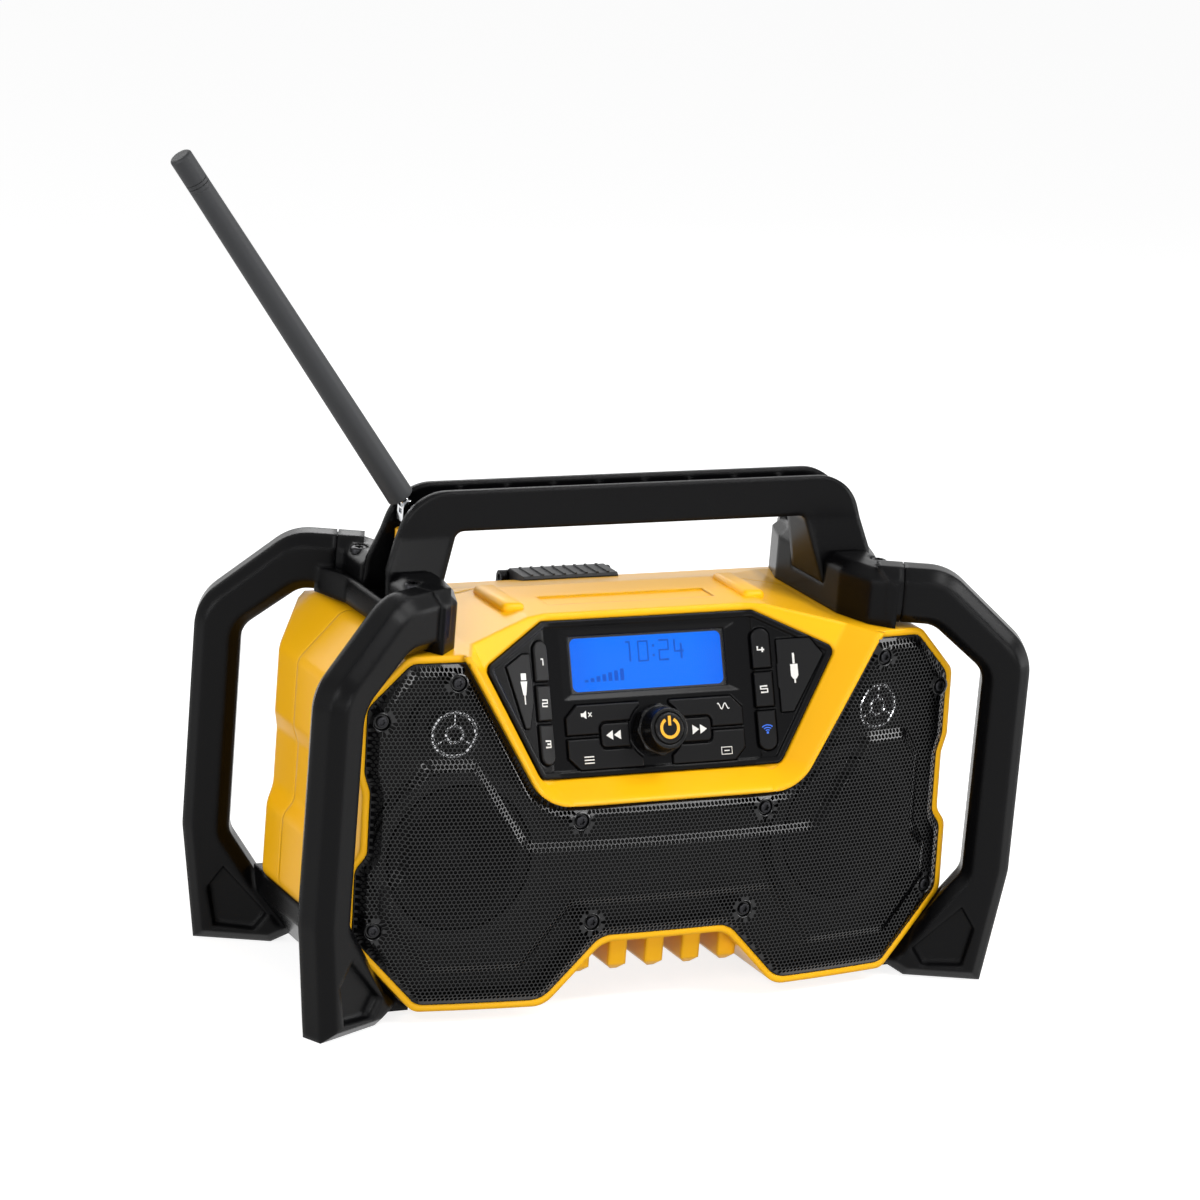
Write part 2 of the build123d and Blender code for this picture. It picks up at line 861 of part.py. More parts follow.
# ---- grille: a pressed and perforated sheet with its edge bent back ----
def perforations(centre_x, centre_z, rings):
    """A honeycomb of hexagonal holes, rings deep round its centre, cut along Y."""
    with BuildPart() as holes:
        with BuildSketch(Plane.XZ):
            with Locations((centre_x, centre_z)):
                with HexLocations(radius=hole_pitch / 2, x_count=2 * rings + 1, y_count=2 * rings + 1):
                    RegularPolygon(radius=hole_across / 2, side_count=6, major_radius=False)
            with Locations((centre_x, centre_z)):
                Circle(rings * hole_pitch + hole_across, mode=Mode.INTERSECT)
        extrude(amount=2 * rim_bow)
    return holes.part


def pressed_sheet(shrink):
    """The grille's solid front form, its outline and its faces drawn in by shrink."""
    with BuildPart() as field:
        extrude(emboss_outline(shrink, Plane.XZ), amount=2 * rim_bow)
        add(bow_block(grille_bow + emboss_height - shrink), mode=Mode.INTERSECT)
    with BuildPart() as form:
        extrude(grille_outline(fit_gap + shrink, Plane.XZ), amount=2 * rim_bow)
        add(bow_block(grille_bow - shrink), mode=Mode.INTERSECT)
        add(field.part)
    return form.part


def at_screws(radius, low, high):
    """Round bars at the grille's screw places, between two heights over its face."""
    with BuildPart() as bars:
        for x, z in grille_screw_places:
            with BuildSketch(bow_seat(x, z, grille_bow).offset(low)):
                Circle(radius)
            extrude(amount=high - low)
        mirror(about=Plane.YZ)
    return bars.part


with BuildPart() as speaker_grille:
    add(pressed_sheet(0))
    add(pressed_sheet(grille_gauge), mode=Mode.SUBTRACT)
    add(bow_block(grille_bow - grille_flange), mode=Mode.SUBTRACT)
    add(at_screws(dimple_radius + grille_gauge, -dimple_depth - grille_gauge, -grille_gauge / 2))
    add(at_screws(dimple_radius, -dimple_depth, 2 * emboss_height), mode=Mode.SUBTRACT)
    add(at_screws(small_shank_radius + screw_play, -2 * grille_flange, 0), mode=Mode.SUBTRACT)
    for side in (-1, 1):
        add(perforations(side * woofer_x, woofer_z, hole_rings), mode=Mode.SUBTRACT)
        add(perforations(side * tweeter_x, tweeter_z, 1), mode=Mode.SUBTRACT)
speaker_grille.part.label = "speaker_grille"
export_step(speaker_grille.part, "parts/speaker_grille.step")

with BuildPart() as grille_screws:
    add(at_screws(small_head_radius, -dimple_depth, small_head_height - dimple_depth))
    add(at_screws(small_shank_radius, -screw_reach, -dimple_depth))
grille_screws.part.label = "grille_screws"
export_step(grille_screws.part, "parts/grille_screws.step")

# ---- speaker baffle and drivers ----
woofer_seat = bow_seat(woofer_x, woofer_z, baffle_bow)
tweeter_seat = bow_seat(tweeter_x, tweeter_z, baffle_bow)
flange_face = driver_boss + driver_flange

with BuildPart() as driver_seats:
    with BuildSketch(woofer_seat.offset(-baffle_thick)):
        Circle(woofer_radius + driver_rim)
    extrude(amount=baffle_thick + driver_boss)
    with BuildSketch(tweeter_seat.offset(-baffle_thick)):
        Circle(tweeter_radius + driver_rim)
    extrude(amount=baffle_thick + driver_boss)
    mirror(about=Plane.YZ)

with BuildPart() as driver_bores:
    with BuildSketch(woofer_seat.offset(-woofer_depth)):
        Circle(woofer_mouth + driver_rim + fit_gap)
    extrude(amount=2 * woofer_depth)
    with BuildSketch(tweeter_seat.offset(-woofer_depth)):
        Circle(dome_radius + driver_rim + fit_gap)
    extrude(amount=2 * woofer_depth)
    mirror(about=Plane.YZ)


def bow_layer(outline, front, back):
    """A plate of the given outline between two bowed surfaces."""
    with BuildPart() as layer:
        extrude(outline, amount=2 * rim_bow)
        add(bow_block(front), mode=Mode.INTERSECT)
        add(bow_block(back), mode=Mode.SUBTRACT)
    return layer.part


baffle_outline = grille_outline(fit_gap, Plane.XZ)
baffle_inside = grille_outline(fit_gap + baffle_rim, Plane.XZ)
baffle_back = baffle_bow - baffle_thick
with BuildPart() as speaker_baffle:
    add(bow_layer(baffle_outline, grille_bow - grille_flange, baffle_back))
    add(bow_layer(baffle_inside, grille_bow, baffle_bow), mode=Mode.SUBTRACT)
    add(driver_seats.part)
    add(at_screws(screw_post_radius, baffle_bow - grille_bow - driver_boss, -dimple_depth - grille_gauge))
    add(driver_bores.part, mode=Mode.SUBTRACT)
    add(at_screws(small_shank_radius + screw_play, -screw_reach - fit_gap, 0), mode=Mode.SUBTRACT)
speaker_baffle.part.label = "speaker_baffle"
export_step(speaker_baffle.part, "parts/speaker_baffle.step")

with BuildPart() as woofer_frame:
    with BuildSketch(woofer_seat.offset(driver_boss)):
        Circle(woofer_radius)
    extrude(amount=driver_flange)
    with BuildSketch(woofer_seat.offset(flange_face)):
        Circle(woofer_mouth + driver_rim)
    with BuildSketch(woofer_seat.offset(flange_face - woofer_depth)):
        Circle(magnet_radius)
    loft()
    with BuildSketch(woofer_seat.offset(flange_face)):
        Circle(woofer_mouth)
    with BuildSketch(woofer_seat.offset(flange_face - woofer_depth + basket_wall)):
        Circle(magnet_radius - driver_rim)
    loft(mode=Mode.SUBTRACT)
    with BuildSketch(woofer_seat.offset(flange_face - woofer_depth)):
        Circle(magnet_radius)
    extrude(amount=-magnet_height)

with BuildPart() as woofer_cone:
    with BuildSketch(woofer_seat.offset(flange_face)):
        Circle(woofer_mouth - cone_gauge)
        Circle(woofer_mouth - surround_width - cone_gauge, mode=Mode.SUBTRACT)
    extrude(amount=-cone_gauge)
    with BuildSketch(woofer_seat.offset(flange_face)):
        Circle(woofer_mouth - surround_width)
    with BuildSketch(woofer_seat.offset(flange_face - cone_depth)):
        Circle(dust_cap_radius)
    loft()
    with BuildSketch(woofer_seat.offset(flange_face + cone_gauge)):
        Circle(woofer_mouth - surround_width)
    with BuildSketch(woofer_seat.offset(flange_face - cone_depth + cone_gauge)):
        Circle(dust_cap_radius)
    loft(mode=Mode.SUBTRACT)
    with BuildSketch(woofer_seat.offset(flange_face - cone_depth)):
        Circle(dust_cap_radius)
    extrude(amount=2 * cone_gauge, taper=cap_taper)

with BuildPart() as tweeter:
    with BuildSketch(tweeter_seat.offset(driver_boss)):
        Circle(tweeter_radius)
    extrude(amount=driver_flange)
    with BuildSketch(tweeter_seat.offset(flange_face)):
        Circle(dome_radius)
    extrude(amount=driver_flange, taper=cap_taper)
    with BuildSketch(tweeter_seat.offset(driver_boss)):
        Circle(dome_radius + driver_rim)
    extrude(amount=-tweeter_depth)

with BuildPart() as right_woofer_frame:
    add(woofer_frame.part)
right_woofer_frame.part.label = "right_woofer_frame"
export_step(right_woofer_frame.part, "parts/right_woofer_frame.step")
with BuildPart() as left_woofer_frame:
    add(mirror(woofer_frame.part, about=Plane.YZ, mode=Mode.PRIVATE))
left_woofer_frame.part.label = "left_woofer_frame"
export_step(left_woofer_frame.part, "parts/left_woofer_frame.step")
with BuildPart() as right_woofer_cone:
    add(woofer_cone.part)
right_woofer_cone.part.label = "right_woofer_cone"
export_step(right_woofer_cone.part, "parts/right_woofer_cone.step")
with BuildPart() as left_woofer_cone:
    add(mirror(woofer_cone.part, about=Plane.YZ, mode=Mode.PRIVATE))
left_woofer_cone.part.label = "left_woofer_cone"
export_step(left_woofer_cone.part, "parts/left_woofer_cone.step")
with BuildPart() as right_tweeter:
    add(tweeter.part)
right_tweeter.part.label = "right_tweeter"
export_step(right_tweeter.part, "parts/right_tweeter.step")
with BuildPart() as left_tweeter:
    add(mirror(tweeter.part, about=Plane.YZ, mode=Mode.PRIVATE))
left_tweeter.part.label = "left_tweeter"
export_step(left_tweeter.part, "parts/left_tweeter.step")

# ---- control panel: folded bezel with its window, key wells and cover seats ----
def skip_outline(grow, plane):
    """The right skip key, which tucks against the knob."""
    with BuildSketch(plane) as section:
        with Locations(((skip_inner + skip_outer) / 2, keys_split)):
            Rectangle(skip_outer - skip_inner + 2 * grow, 2 * skip_half + 2 * grow)
        outer = section.vertices().group_by(Axis.X)[-1]
        fillet(outer, radius=skip_round + grow)
        with Locations((0, knob_y)):
            Circle(knob_radius + knob_gap - grow, mode=Mode.SUBTRACT)
    return section.sketch


def quarter_outline(high, low, grow, plane):
    """One of the right half's two corner keys, beside the skip key and the knob."""
    outer = keys_half + grow
    with BuildSketch(plane) as section:
        with BuildLine():
            Polyline(
                (quarter_inner, keys_high + grow),
                (outer - keys_cut, keys_high + grow),
                (outer, keys_high + grow - keys_cut),
                (outer, keys_low - grow + keys_cut),
                (outer - keys_cut, keys_low - grow),
                (quarter_inner, keys_low - grow),
                close=True,
            )
        make_face()
        with Locations(((quarter_inner + outer) / 2, (high + low) / 2)):
            Rectangle(outer - quarter_inner, high - low + 2 * grow, mode=Mode.INTERSECT)
        add(skip_outline(key_web - grow, Plane.XY), mode=Mode.SUBTRACT)
        with Locations((0, knob_y)):
            Circle(knob_radius + knob_gap + key_web - grow, mode=Mode.SUBTRACT)
    return section.sketch


def preset_outline(high, low, grow, plane):
    """One key of the right preset column, rounded where the column ends."""
    with BuildSketch(plane) as section:
        with Locations((preset_x, (preset_top + preset_low) / 2)):
            SlotOverall(preset_top - preset_low + 2 * grow, 2 * (preset_half + grow), rotation=90)
        with Locations((preset_x, (high + low) / 2)):
            Rectangle(2 * (preset_half + grow), high - low + 2 * grow, mode=Mode.INTERSECT)
    return section.sketch


def usb_cover_outline(grow, plane):
    """The USB cover, drawn on the right wing and mirrored to the left one."""
    with BuildSketch(plane) as section:
        with BuildLine():
            Polyline(
                (usb_hinge_x, cover_high_y),
                (usb_knee_x, cover_high_y),
                (usb_tip_x, usb_tip_y),
                (usb_low_x, cover_low_y),
                (usb_low_x - usb_low_width, cover_low_y),
                (usb_hinge_x, usb_cut_y),
                close=True,
            )
        make_face()
        if grow != 0:
            offset(amount=grow, kind=Kind.INTERSECTION)
    return section.sketch


def aux_cover_outline(grow, plane):
    """The audio cover on the right wing."""
    with BuildSketch(plane) as section:
        with BuildLine():
            Polyline(
                (aux_hinge_x, cover_high_y),
                (aux_knee_x, cover_high_y),
                (aux_tip_x, aux_tip_y),
                (aux_low_x, cover_low_y),
                (aux_hinge_x, cover_low_y),
                close=True,
            )
        make_face()
        if grow != 0:
            offset(amount=grow, kind=Kind.INTERSECTION)
    return section.sketch


def hinge_bead(hinge_x, radius, length):
    """A round bar on the hinge line of a cover, drawn on the right wing."""
    start = wing_plane.from_local_coords(Vector(hinge_x, bead_y - length / 2, cover_seat - bead_radius))
    with BuildPart() as bar:
        with BuildSketch(Plane(origin=start, x_dir=wing_plane.x_dir, z_dir=wing_plane.y_dir)):
            Circle(radius)
        extrude(amount=length)
    return bar.part


def key(outline, plane, stem_x, stem_y):
    """A key cap of the given outline with a stem through the bezel's floor."""
    with BuildPart() as cap:
        extrude(outline, amount=key_proud + panel_gauge - key_floor - key_travel - fit_gap)
        chamfer(cap.faces().sort_by(Axis(plane.origin, plane.z_dir))[-1].edges(), length=key_edge)
        with BuildSketch(plane.offset(-panel_gauge + key_floor + key_travel + fit_gap)):
            with Locations((stem_x, stem_y)):
                Circle(stem_radius)
        extrude(amount=-stem_length)
    return cap.part


well_plane = panel_plane.offset(-panel_gauge + key_floor)
wing_well_plane = wing_plane.offset(-panel_gauge + key_floor)
cap_base = -panel_gauge + key_floor + key_travel + fit_gap
upper_cell = (keys_high, keys_split + key_web)
lower_cell = (keys_split - key_web, keys_low)
preset_cells = [
    (preset_top, preset_split_high + key_web),
    (preset_split_high - key_web, preset_split_low + key_web),
    (preset_split_low - key_web, preset_low),
]
stem_places = [(key_stem_x, keys_split + key_stem_y), (key_stem_x, keys_split - key_stem_y)]
skip_stem_x = (skip_inner + skip_outer) / 2

with BuildPart() as key_wells:
    extrude(skip_outline(key_gap, well_plane), amount=2 * panel_gauge)
    extrude(quarter_outline(*upper_cell, key_gap, well_plane), amount=2 * panel_gauge)
    extrude(quarter_outline(*lower_cell, key_gap, well_plane), amount=2 * panel_gauge)
    for cell in preset_cells:
        extrude(preset_outline(*cell, key_gap, wing_well_plane), amount=2 * panel_gauge)
    with BuildSketch(panel_plane.offset(-2 * panel_gauge)):
        with Locations(*stem_places, (skip_stem_x, keys_split)):
            Circle(stem_radius + key_gap)
    extrude(amount=2 * panel_gauge)
    with BuildSketch(wing_plane.offset(-2 * panel_gauge)):
        for high, low in preset_cells:
            with Locations((preset_x, (high + low) / 2)):
                Circle(stem_radius + key_gap)
    extrude(amount=2 * panel_gauge)
    mirror(about=Plane.YZ)

with BuildPart() as usb_seat:
    extrude(usb_cover_outline(fit_gap, wing_plane.offset(cover_seat_depth)), amount=2 * panel_gauge)
    add(hinge_bead(usb_hinge_x, bead_radius + bead_play, bead_length + 2 * bead_play))
    with BuildSketch(wing_plane.offset(-2 * panel_gauge)):
        with Locations((usb_x, usb_y)):
            Rectangle(2 * (usb_half + screw_play), 2 * (usb_half_long + screw_play))
    extrude(amount=2 * panel_gauge)

with BuildPart() as aux_seat:
    extrude(aux_cover_outline(fit_gap, wing_plane.offset(cover_seat_depth)), amount=2 * panel_gauge)
    add(hinge_bead(aux_hinge_x, bead_radius + bead_play, bead_length + 2 * bead_play))
    with BuildSketch(wing_plane.offset(-2 * panel_gauge)):
        with Locations((aux_x, aux_y)):
            Circle(aux_radius + screw_play)
    extrude(amount=2 * panel_gauge)

window_mid = (window_low + window_high) / 2
window_tall = window_high - window_low
with BuildPart() as control_panel:
    add(panel_slab(0, -panel_gauge, panel_rim))
    add(panel_slab(-panel_rim_width, 0, 2 * panel_rim), mode=Mode.SUBTRACT)
    with BuildSketch(panel_plane):
        with Locations((0, window_mid)):
            Rectangle(2 * (window_half + window_frame), window_tall + window_frame)
    with BuildSketch(panel_plane.offset(-window_sink)):
        with Locations((0, window_mid)):
            Rectangle(2 * window_half, window_tall)
    loft(mode=Mode.SUBTRACT)
    with BuildSketch(panel_plane.offset(-panel_gauge)):
        with Locations((0, window_mid)):
            Rectangle(2 * window_half, window_tall)
    extrude(amount=panel_gauge, mode=Mode.SUBTRACT)
    add(key_wells.part, mode=Mode.SUBTRACT)
    add(aux_seat.part, mode=Mode.SUBTRACT)
    add(mirror(usb_seat.part, about=Plane.YZ, mode=Mode.PRIVATE), mode=Mode.SUBTRACT)
    with BuildSketch(panel_plane.offset(-panel_gauge)):
        with Locations((0, knob_y)):
            Circle(shaft_radius + key_gap)
    extrude(amount=2 * panel_gauge, mode=Mode.SUBTRACT)
    with BuildSketch(panel_plane.offset(-panel_gauge)):
        with GridLocations(2 * board_post_x, 2 * board_post_y, 2, 2):
            Circle(board_post_radius)
    extrude(amount=panel_gauge - board_depth)
control_panel.part.label = "control_panel"
export_step(control_panel.part, "parts/control_panel.step")

with BuildPart() as display_lens:
    with BuildSketch(panel_plane.offset(-panel_gauge)):
        with Locations((0, window_mid)):
            Rectangle(2 * (window_half - lens_play), window_tall - 2 * lens_play)
    extrude(amount=lens_gauge)
display_lens.part.label = "display_lens"
export_step(display_lens.part, "parts/display_lens.step")

with BuildPart() as display_module:
    with BuildSketch(panel_plane.offset(-panel_gauge)):
        with Locations((0, window_mid)):
            Rectangle(2 * (window_half + module_lip), window_tall + 2 * module_lip)
    extrude(amount=-display_gauge)
display_module.part.label = "display_module"
export_step(display_module.part, "parts/display_module.step")

board_height = panel_top - panel_low - 2 * (tray_ledge + board_play)
with BuildPart() as main_board:
    with BuildSketch(panel_plane.offset(-board_depth)):
        with Locations((0, (panel_top + panel_low) / 2)):
            Rectangle(2 * (board_post_x + board_post_radius), board_height)
    extrude(amount=-board_gauge)
main_board.part.label = "main_board"
export_step(main_board.part, "parts/main_board.step")

with BuildPart() as encoder:
    with BuildSketch(panel_plane.offset(-board_depth)):
        with Locations((0, knob_y)):
            Rectangle(2 * encoder_half, 2 * encoder_half)
    extrude(amount=encoder_height)
encoder.part.label = "encoder"
export_step(encoder.part, "parts/encoder.step")

# ---- tuning knob and the power cap in its face ----
shaft_end = encoder_height - board_depth + fit_gap
with BuildPart() as tuning_knob:
    with BuildSketch(panel_plane.offset(knob_lift)):
        with Locations((0, knob_y)):
            Circle(knob_radius - knob_lobe / 2)
            with PolarLocations(knob_radius - 2 * knob_lobe, knob_lobes):
                Circle(2 * knob_lobe)
    extrude(amount=knob_skirt)
    with BuildSketch(panel_plane.offset(knob_lift + knob_skirt)):
        with Locations((0, knob_y)):
            Circle(knob_radius - knob_lobe)
    with BuildSketch(panel_plane.offset(knob_height)):
        with Locations((0, knob_y)):
            Circle(knob_face_radius)
    loft()
    with BuildSketch(panel_plane.offset(shaft_end)):
        with Locations((0, knob_y)):
            Circle(shaft_radius)
    extrude(amount=knob_height - shaft_end - cap_height)
    with BuildSketch(panel_plane.offset(knob_height - cap_height)):
        with Locations((0, knob_y)):
            Circle(cap_radius + key_gap)
    extrude(amount=cap_height, mode=Mode.SUBTRACT)
    with BuildSketch(panel_plane.offset(shaft_end)):
        with Locations((0, knob_y)):
            Circle(stem_radius + key_gap)
    extrude(amount=2 * knob_height, mode=Mode.SUBTRACT)
tuning_knob.part.label = "tuning_knob"
export_step(tuning_knob.part, "parts/tuning_knob.step")

with BuildPart() as power_cap:
    with BuildSketch(panel_plane.offset(knob_height - cap_height + key_travel + fit_gap)):
        with Locations((0, knob_y)):
            Circle(cap_radius)
    extrude(amount=cap_height - key_travel - fit_gap + cap_proud)
    chamfer(power_cap.faces().sort_by(Axis(panel_plane.origin, panel_normal))[-1].edges(), length=key_edge)
    with BuildSketch(panel_plane.offset(shaft_end + key_travel + fit_gap)):
        with Locations((0, knob_y)):
            Circle(stem_radius)
    extrude(amount=knob_height - cap_height - shaft_end)
power_cap.part.label = "power_cap"
export_step(power_cap.part, "parts/power_cap.step")

# ---- keys ----
cap_plane = panel_plane.offset(cap_base)
wing_cap_plane = wing_plane.offset(cap_base)
upper_key = key(quarter_outline(*upper_cell, 0, cap_plane), panel_plane, *stem_places[0])
lower_key = key(quarter_outline(*lower_cell, 0, cap_plane), panel_plane, *stem_places[1])
skip_key = key(skip_outline(0, cap_plane), panel_plane, skip_stem_x, keys_split)
right_keys = {"mode_button": upper_key, "display_button": lower_key, "next_button": skip_key}
left_keys = {"mute_button": upper_key, "menu_button": lower_key, "previous_button": skip_key}
for number, (high, low) in enumerate(preset_cells):
    preset_key = key(preset_outline(high, low, 0, wing_cap_plane), wing_plane, preset_x, (high + low) / 2)
    left_keys[f"preset_{number + 1}_button"] = preset_key
    right_keys[["preset_4_button", "preset_5_button", "wireless_button"][number]] = preset_key
for name, cap in right_keys.items():
    with BuildPart() as button:
        add(cap)
    button.part.label = name
    export_step(button.part, f"parts/{name}.step")
for name, cap in left_keys.items():
    with BuildPart() as button:
        add(mirror(cap, about=Plane.YZ, mode=Mode.PRIVATE))
    button.part.label = name
    export_step(button.part, f"parts/{name}.step")

# ---- socket covers and sockets ----
with BuildPart() as aux_cover:
    extrude(aux_cover_outline(0, wing_plane.offset(cover_seat - cover_gauge)), amount=cover_gauge)
    add(hinge_bead(aux_hinge_x, bead_radius, bead_length))
aux_cover.part.label = "aux_cover"
export_step(aux_cover.part, "parts/aux_cover.step")

with BuildPart() as usb_blank:
    extrude(usb_cover_outline(0, wing_plane.offset(cover_seat - cover_gauge)), amount=cover_gauge)
    add(hinge_bead(usb_hinge_x, bead_radius, bead_length))
with BuildPart() as usb_cover:
    add(mirror(usb_blank.part, about=Plane.YZ, mode=Mode.PRIVATE))
usb_cover.part.label = "usb_cover"
export_step(usb_cover.part, "parts/usb_cover.step")

socket_face = -panel_gauge + key_floor / 2
with BuildPart() as aux_socket:
    with BuildSketch(wing_plane.offset(socket_face)):
        with Locations((aux_x, aux_y)):
            Circle(aux_radius)
            Circle(aux_bore, mode=Mode.SUBTRACT)
    extrude(amount=-socket_depth)
aux_socket.part.label = "aux_socket"
export_step(aux_socket.part, "parts/aux_socket.step")

with BuildPart() as usb_shell:
    with BuildSketch(wing_plane.offset(socket_face)):
        with Locations((usb_x, usb_y)):
            Rectangle(2 * usb_half, 2 * usb_half_long)
    extrude(amount=-socket_depth)
    with BuildSketch(wing_plane.offset(socket_face)):
        with Locations((usb_x, usb_y)):
            Rectangle(2 * (usb_half - usb_wall), 2 * (usb_half_long - usb_wall))
    extrude(amount=usb_wall - socket_depth, mode=Mode.SUBTRACT)
    with BuildSketch(wing_plane.offset(socket_face - socket_depth)):
        with Locations((usb_x + usb_half - 2 * usb_wall - usb_tongue / 2, usb_y)):
            Rectangle(usb_tongue, 2 * (usb_half_long - 2 * usb_wall))
    extrude(amount=socket_depth - usb_wall)
with BuildPart() as usb_socket:
    add(mirror(usb_shell.part, about=Plane.YZ, mode=Mode.PRIVATE))
usb_socket.part.label = "usb_socket"
export_step(usb_socket.part, "parts/usb_socket.step")

# ---- guards: octagonal tubes with flat feet, joined by a rail and a saddle band ----
bends = [
    ((bend_out_x, leg_top_z), outer_bend),
    ((leg_out, bend_out_z), outer_bend),
    ((leg_out, knee_out_z), outer_bend),
    ((leg_in, knee_in_z), knee_bend),
    ((leg_in, bend_in_z), inner_bend),
    ((bend_in_x, leg_under_z), inner_bend),
]


def leg_bar():
    """The front right leg from inside the hub to the floor, in the leg's own plane."""
    with BuildPart() as bar:
        with BuildSketch(leg_plane):
            with BuildLine():
                Polyline(
                    (-stub_length, leg_top_z),
                    (bend_out_x, leg_top_z),
                    (leg_out, bend_out_z),
                    (leg_out, knee_out_z),
                    (foot_out, 0),
                    (gusset_sole_x, 0),
                    (gusset_tip_x, gusset_tip_z),
                    (gusset_high_x, gusset_high_z),
                    (leg_in, knee_in_z),
                    (leg_in, bend_in_z),
                    (bend_in_x, leg_under_z),
                    (-stub_length, leg_under_z),
                    close=True,
                )
            make_face()
        extrude(amount=tube_depth / 2, both=True)
        across = bar.edges().filter_by(Axis(leg_plane.origin, leg_plane.z_dir))
        for corner, radius in bends:
            place = leg_plane.from_local_coords(Vector(*corner, 0))
            fillet(across.sort_by_distance(place)[0], radius=radius)
            across = bar.edges().filter_by(Axis(leg_plane.origin, leg_plane.z_dir))
        chamfer(bar.faces().filter_by(leg_plane).edges(), length=tube_chamfer)
    return bar.part


leg = leg_bar()
seam_plane = Plane(origin=leg_plane.origin, z_dir=leg_plane.x_dir)
with BuildPart() as foot_pocket:
    for face in (-1, 1):
        with BuildSketch(leg_plane.offset(face * tube_depth / 2)):
            Polygon(
                (pocket_high_x, pocket_high_z),
                (pocket_out_x, pocket_out_z),
                (pocket_heel_x, pocket_heel_z),
                (pocket_toe_x, pocket_toe_z),
                (pocket_in_x, pocket_in_z),
                align=None,
            )
        extrude(amount=-face * pocket_depth, taper=pocket_taper)

with BuildPart() as rail:
    with BuildSketch(Plane.XZ.offset(rail_end_y)):
        Polygon(
            (rail_half_in, rail_z),
            (rail_half_mid, rail_z),
            (rail_half_out, rail_out_z),
            (rail_half_out, rail_top_z),
            (rail_half_in, rail_top_z),
            align=None,
        )
    extrude(amount=-2 * rail_end_y)

with BuildPart() as saddle:
    with BuildSketch(Plane.XY.offset(leg_under_z)):
        Polygon(
            (hub_out + seam_gap, -saddle_side_y),
            (hub_out + seam_gap + saddle_step, -saddle_step_y),
            (saddle_end_half, -saddle_end_y),
            (saddle_half, -saddle_waist_y),
            (saddle_half, saddle_waist_y),
            (saddle_end_half, saddle_end_y),
            (hub_out + seam_gap + saddle_step, saddle_step_y),
            (hub_out + seam_gap, saddle_side_y),
            align=None,
        )
    extrude(amount=saddle_top_z - leg_under_z)

with BuildPart() as guard_leg:
    add(leg)
    split(bisect_by=seam_plane.offset(seam_gap / 2), keep=Keep.TOP)
    add(foot_pocket.part, mode=Mode.SUBTRACT)

with BuildPart() as right_guard:
    add(guard_leg.part)
    mirror(about=Plane.XZ)
    add(rail.part)
    add(saddle.part)
    add(body_clearance, mode=Mode.SUBTRACT)
right_guard.part.label = "right_guard"
export_step(right_guard.part, "parts/right_guard.step")
with BuildPart() as left_guard:
    add(mirror(right_guard.part, about=Plane.YZ, mode=Mode.PRIVATE))
left_guard.part.label = "left_guard"
export_step(left_guard.part, "parts/left_guard.step")

# ---- hubs: the castings that hold the guards and the handle to the shoulders ----
with BuildPart() as hub_stub:
    add(leg)
    split(bisect_by=seam_plane.offset(-seam_gap / 2), keep=Keep.BOTTOM)
    mirror(about=Plane.XZ)

with BuildPart() as hub_blank:
    with BuildSketch(Plane.XY.offset(hub_low_z)) as hub_plan:
        with BuildLine() as plan_half:
            Polyline(
                (hub_in, 0),
                (hub_in, hub_side_y),
                (hub_nose_x, hub_nose_y),
                (hub_nose_out, hub_tip_y),
                (hub_out, hub_shoulder_y),
                (hub_out, 0),
            )
            mirror(plan_half.line, about=Plane.XZ)
        make_face()
    extrude(amount=hub_top_z - hub_low_z)
    chamfer(hub_blank.faces().sort_by(Axis.Z)[-1].edges(), length=hub_chamfer)

with BuildPart() as hub_screw_bores:
    with BuildSketch(Plane.XY.offset(hub_top_z)):
        for side in (-1, 1):
            with Locations((hub_screw_x, side * hub_screw_y)):
                Circle(hub_screw_head + fit_gap)
    extrude(amount=-hub_screw_recess)
    with BuildSketch(Plane.XY.offset(hub_top_z)):
        for side in (-1, 1):
            with Locations((hub_screw_x, side * hub_screw_y)):
                Circle(hub_screw_shank + screw_play)
    extrude(amount=-hub_screw_length - hub_screw_recess)

with BuildPart() as right_hub:
    add(hub_blank.part)
    add(hub_stub.part)
    with Locations((hub_in, 0, hub_floor_z)):
        Box(
            hub_in,
            2 * (handle_foot_half + fit_gap),
            hub_in,
            align=(Align.CENTER, Align.CENTER, Align.MIN),
            mode=Mode.SUBTRACT,
        )
    add(hub_screw_bores.part, mode=Mode.SUBTRACT)
    add(body_clearance, mode=Mode.SUBTRACT)
right_hub.part.label = "right_hub"
export_step(right_hub.part, "parts/right_hub.step")
with BuildPart() as left_hub:
    add(mirror(right_hub.part, about=Plane.YZ, mode=Mode.PRIVATE))
left_hub.part.label = "left_hub"
export_step(left_hub.part, "parts/left_hub.step")

with BuildPart() as hub_screws:
    with BuildSketch(Plane.XY.offset(hub_top_z - hub_screw_recess)):
        with GridLocations(2 * hub_screw_x, 2 * hub_screw_y, 2, 2):
            Circle(hub_screw_head)
    extrude(amount=hub_screw_recess - fit_gap)
    with BuildSketch(Plane.XY.offset(hub_top_z - hub_screw_recess)):
        with GridLocations(2 * hub_screw_x, 2 * hub_screw_y, 2, 2):
            Circle(hub_screw_shank)
    extrude(amount=-hub_screw_length)
hub_screws.part.label = "hub_screws"
export_step(hub_screws.part, "parts/hub_screws.step")

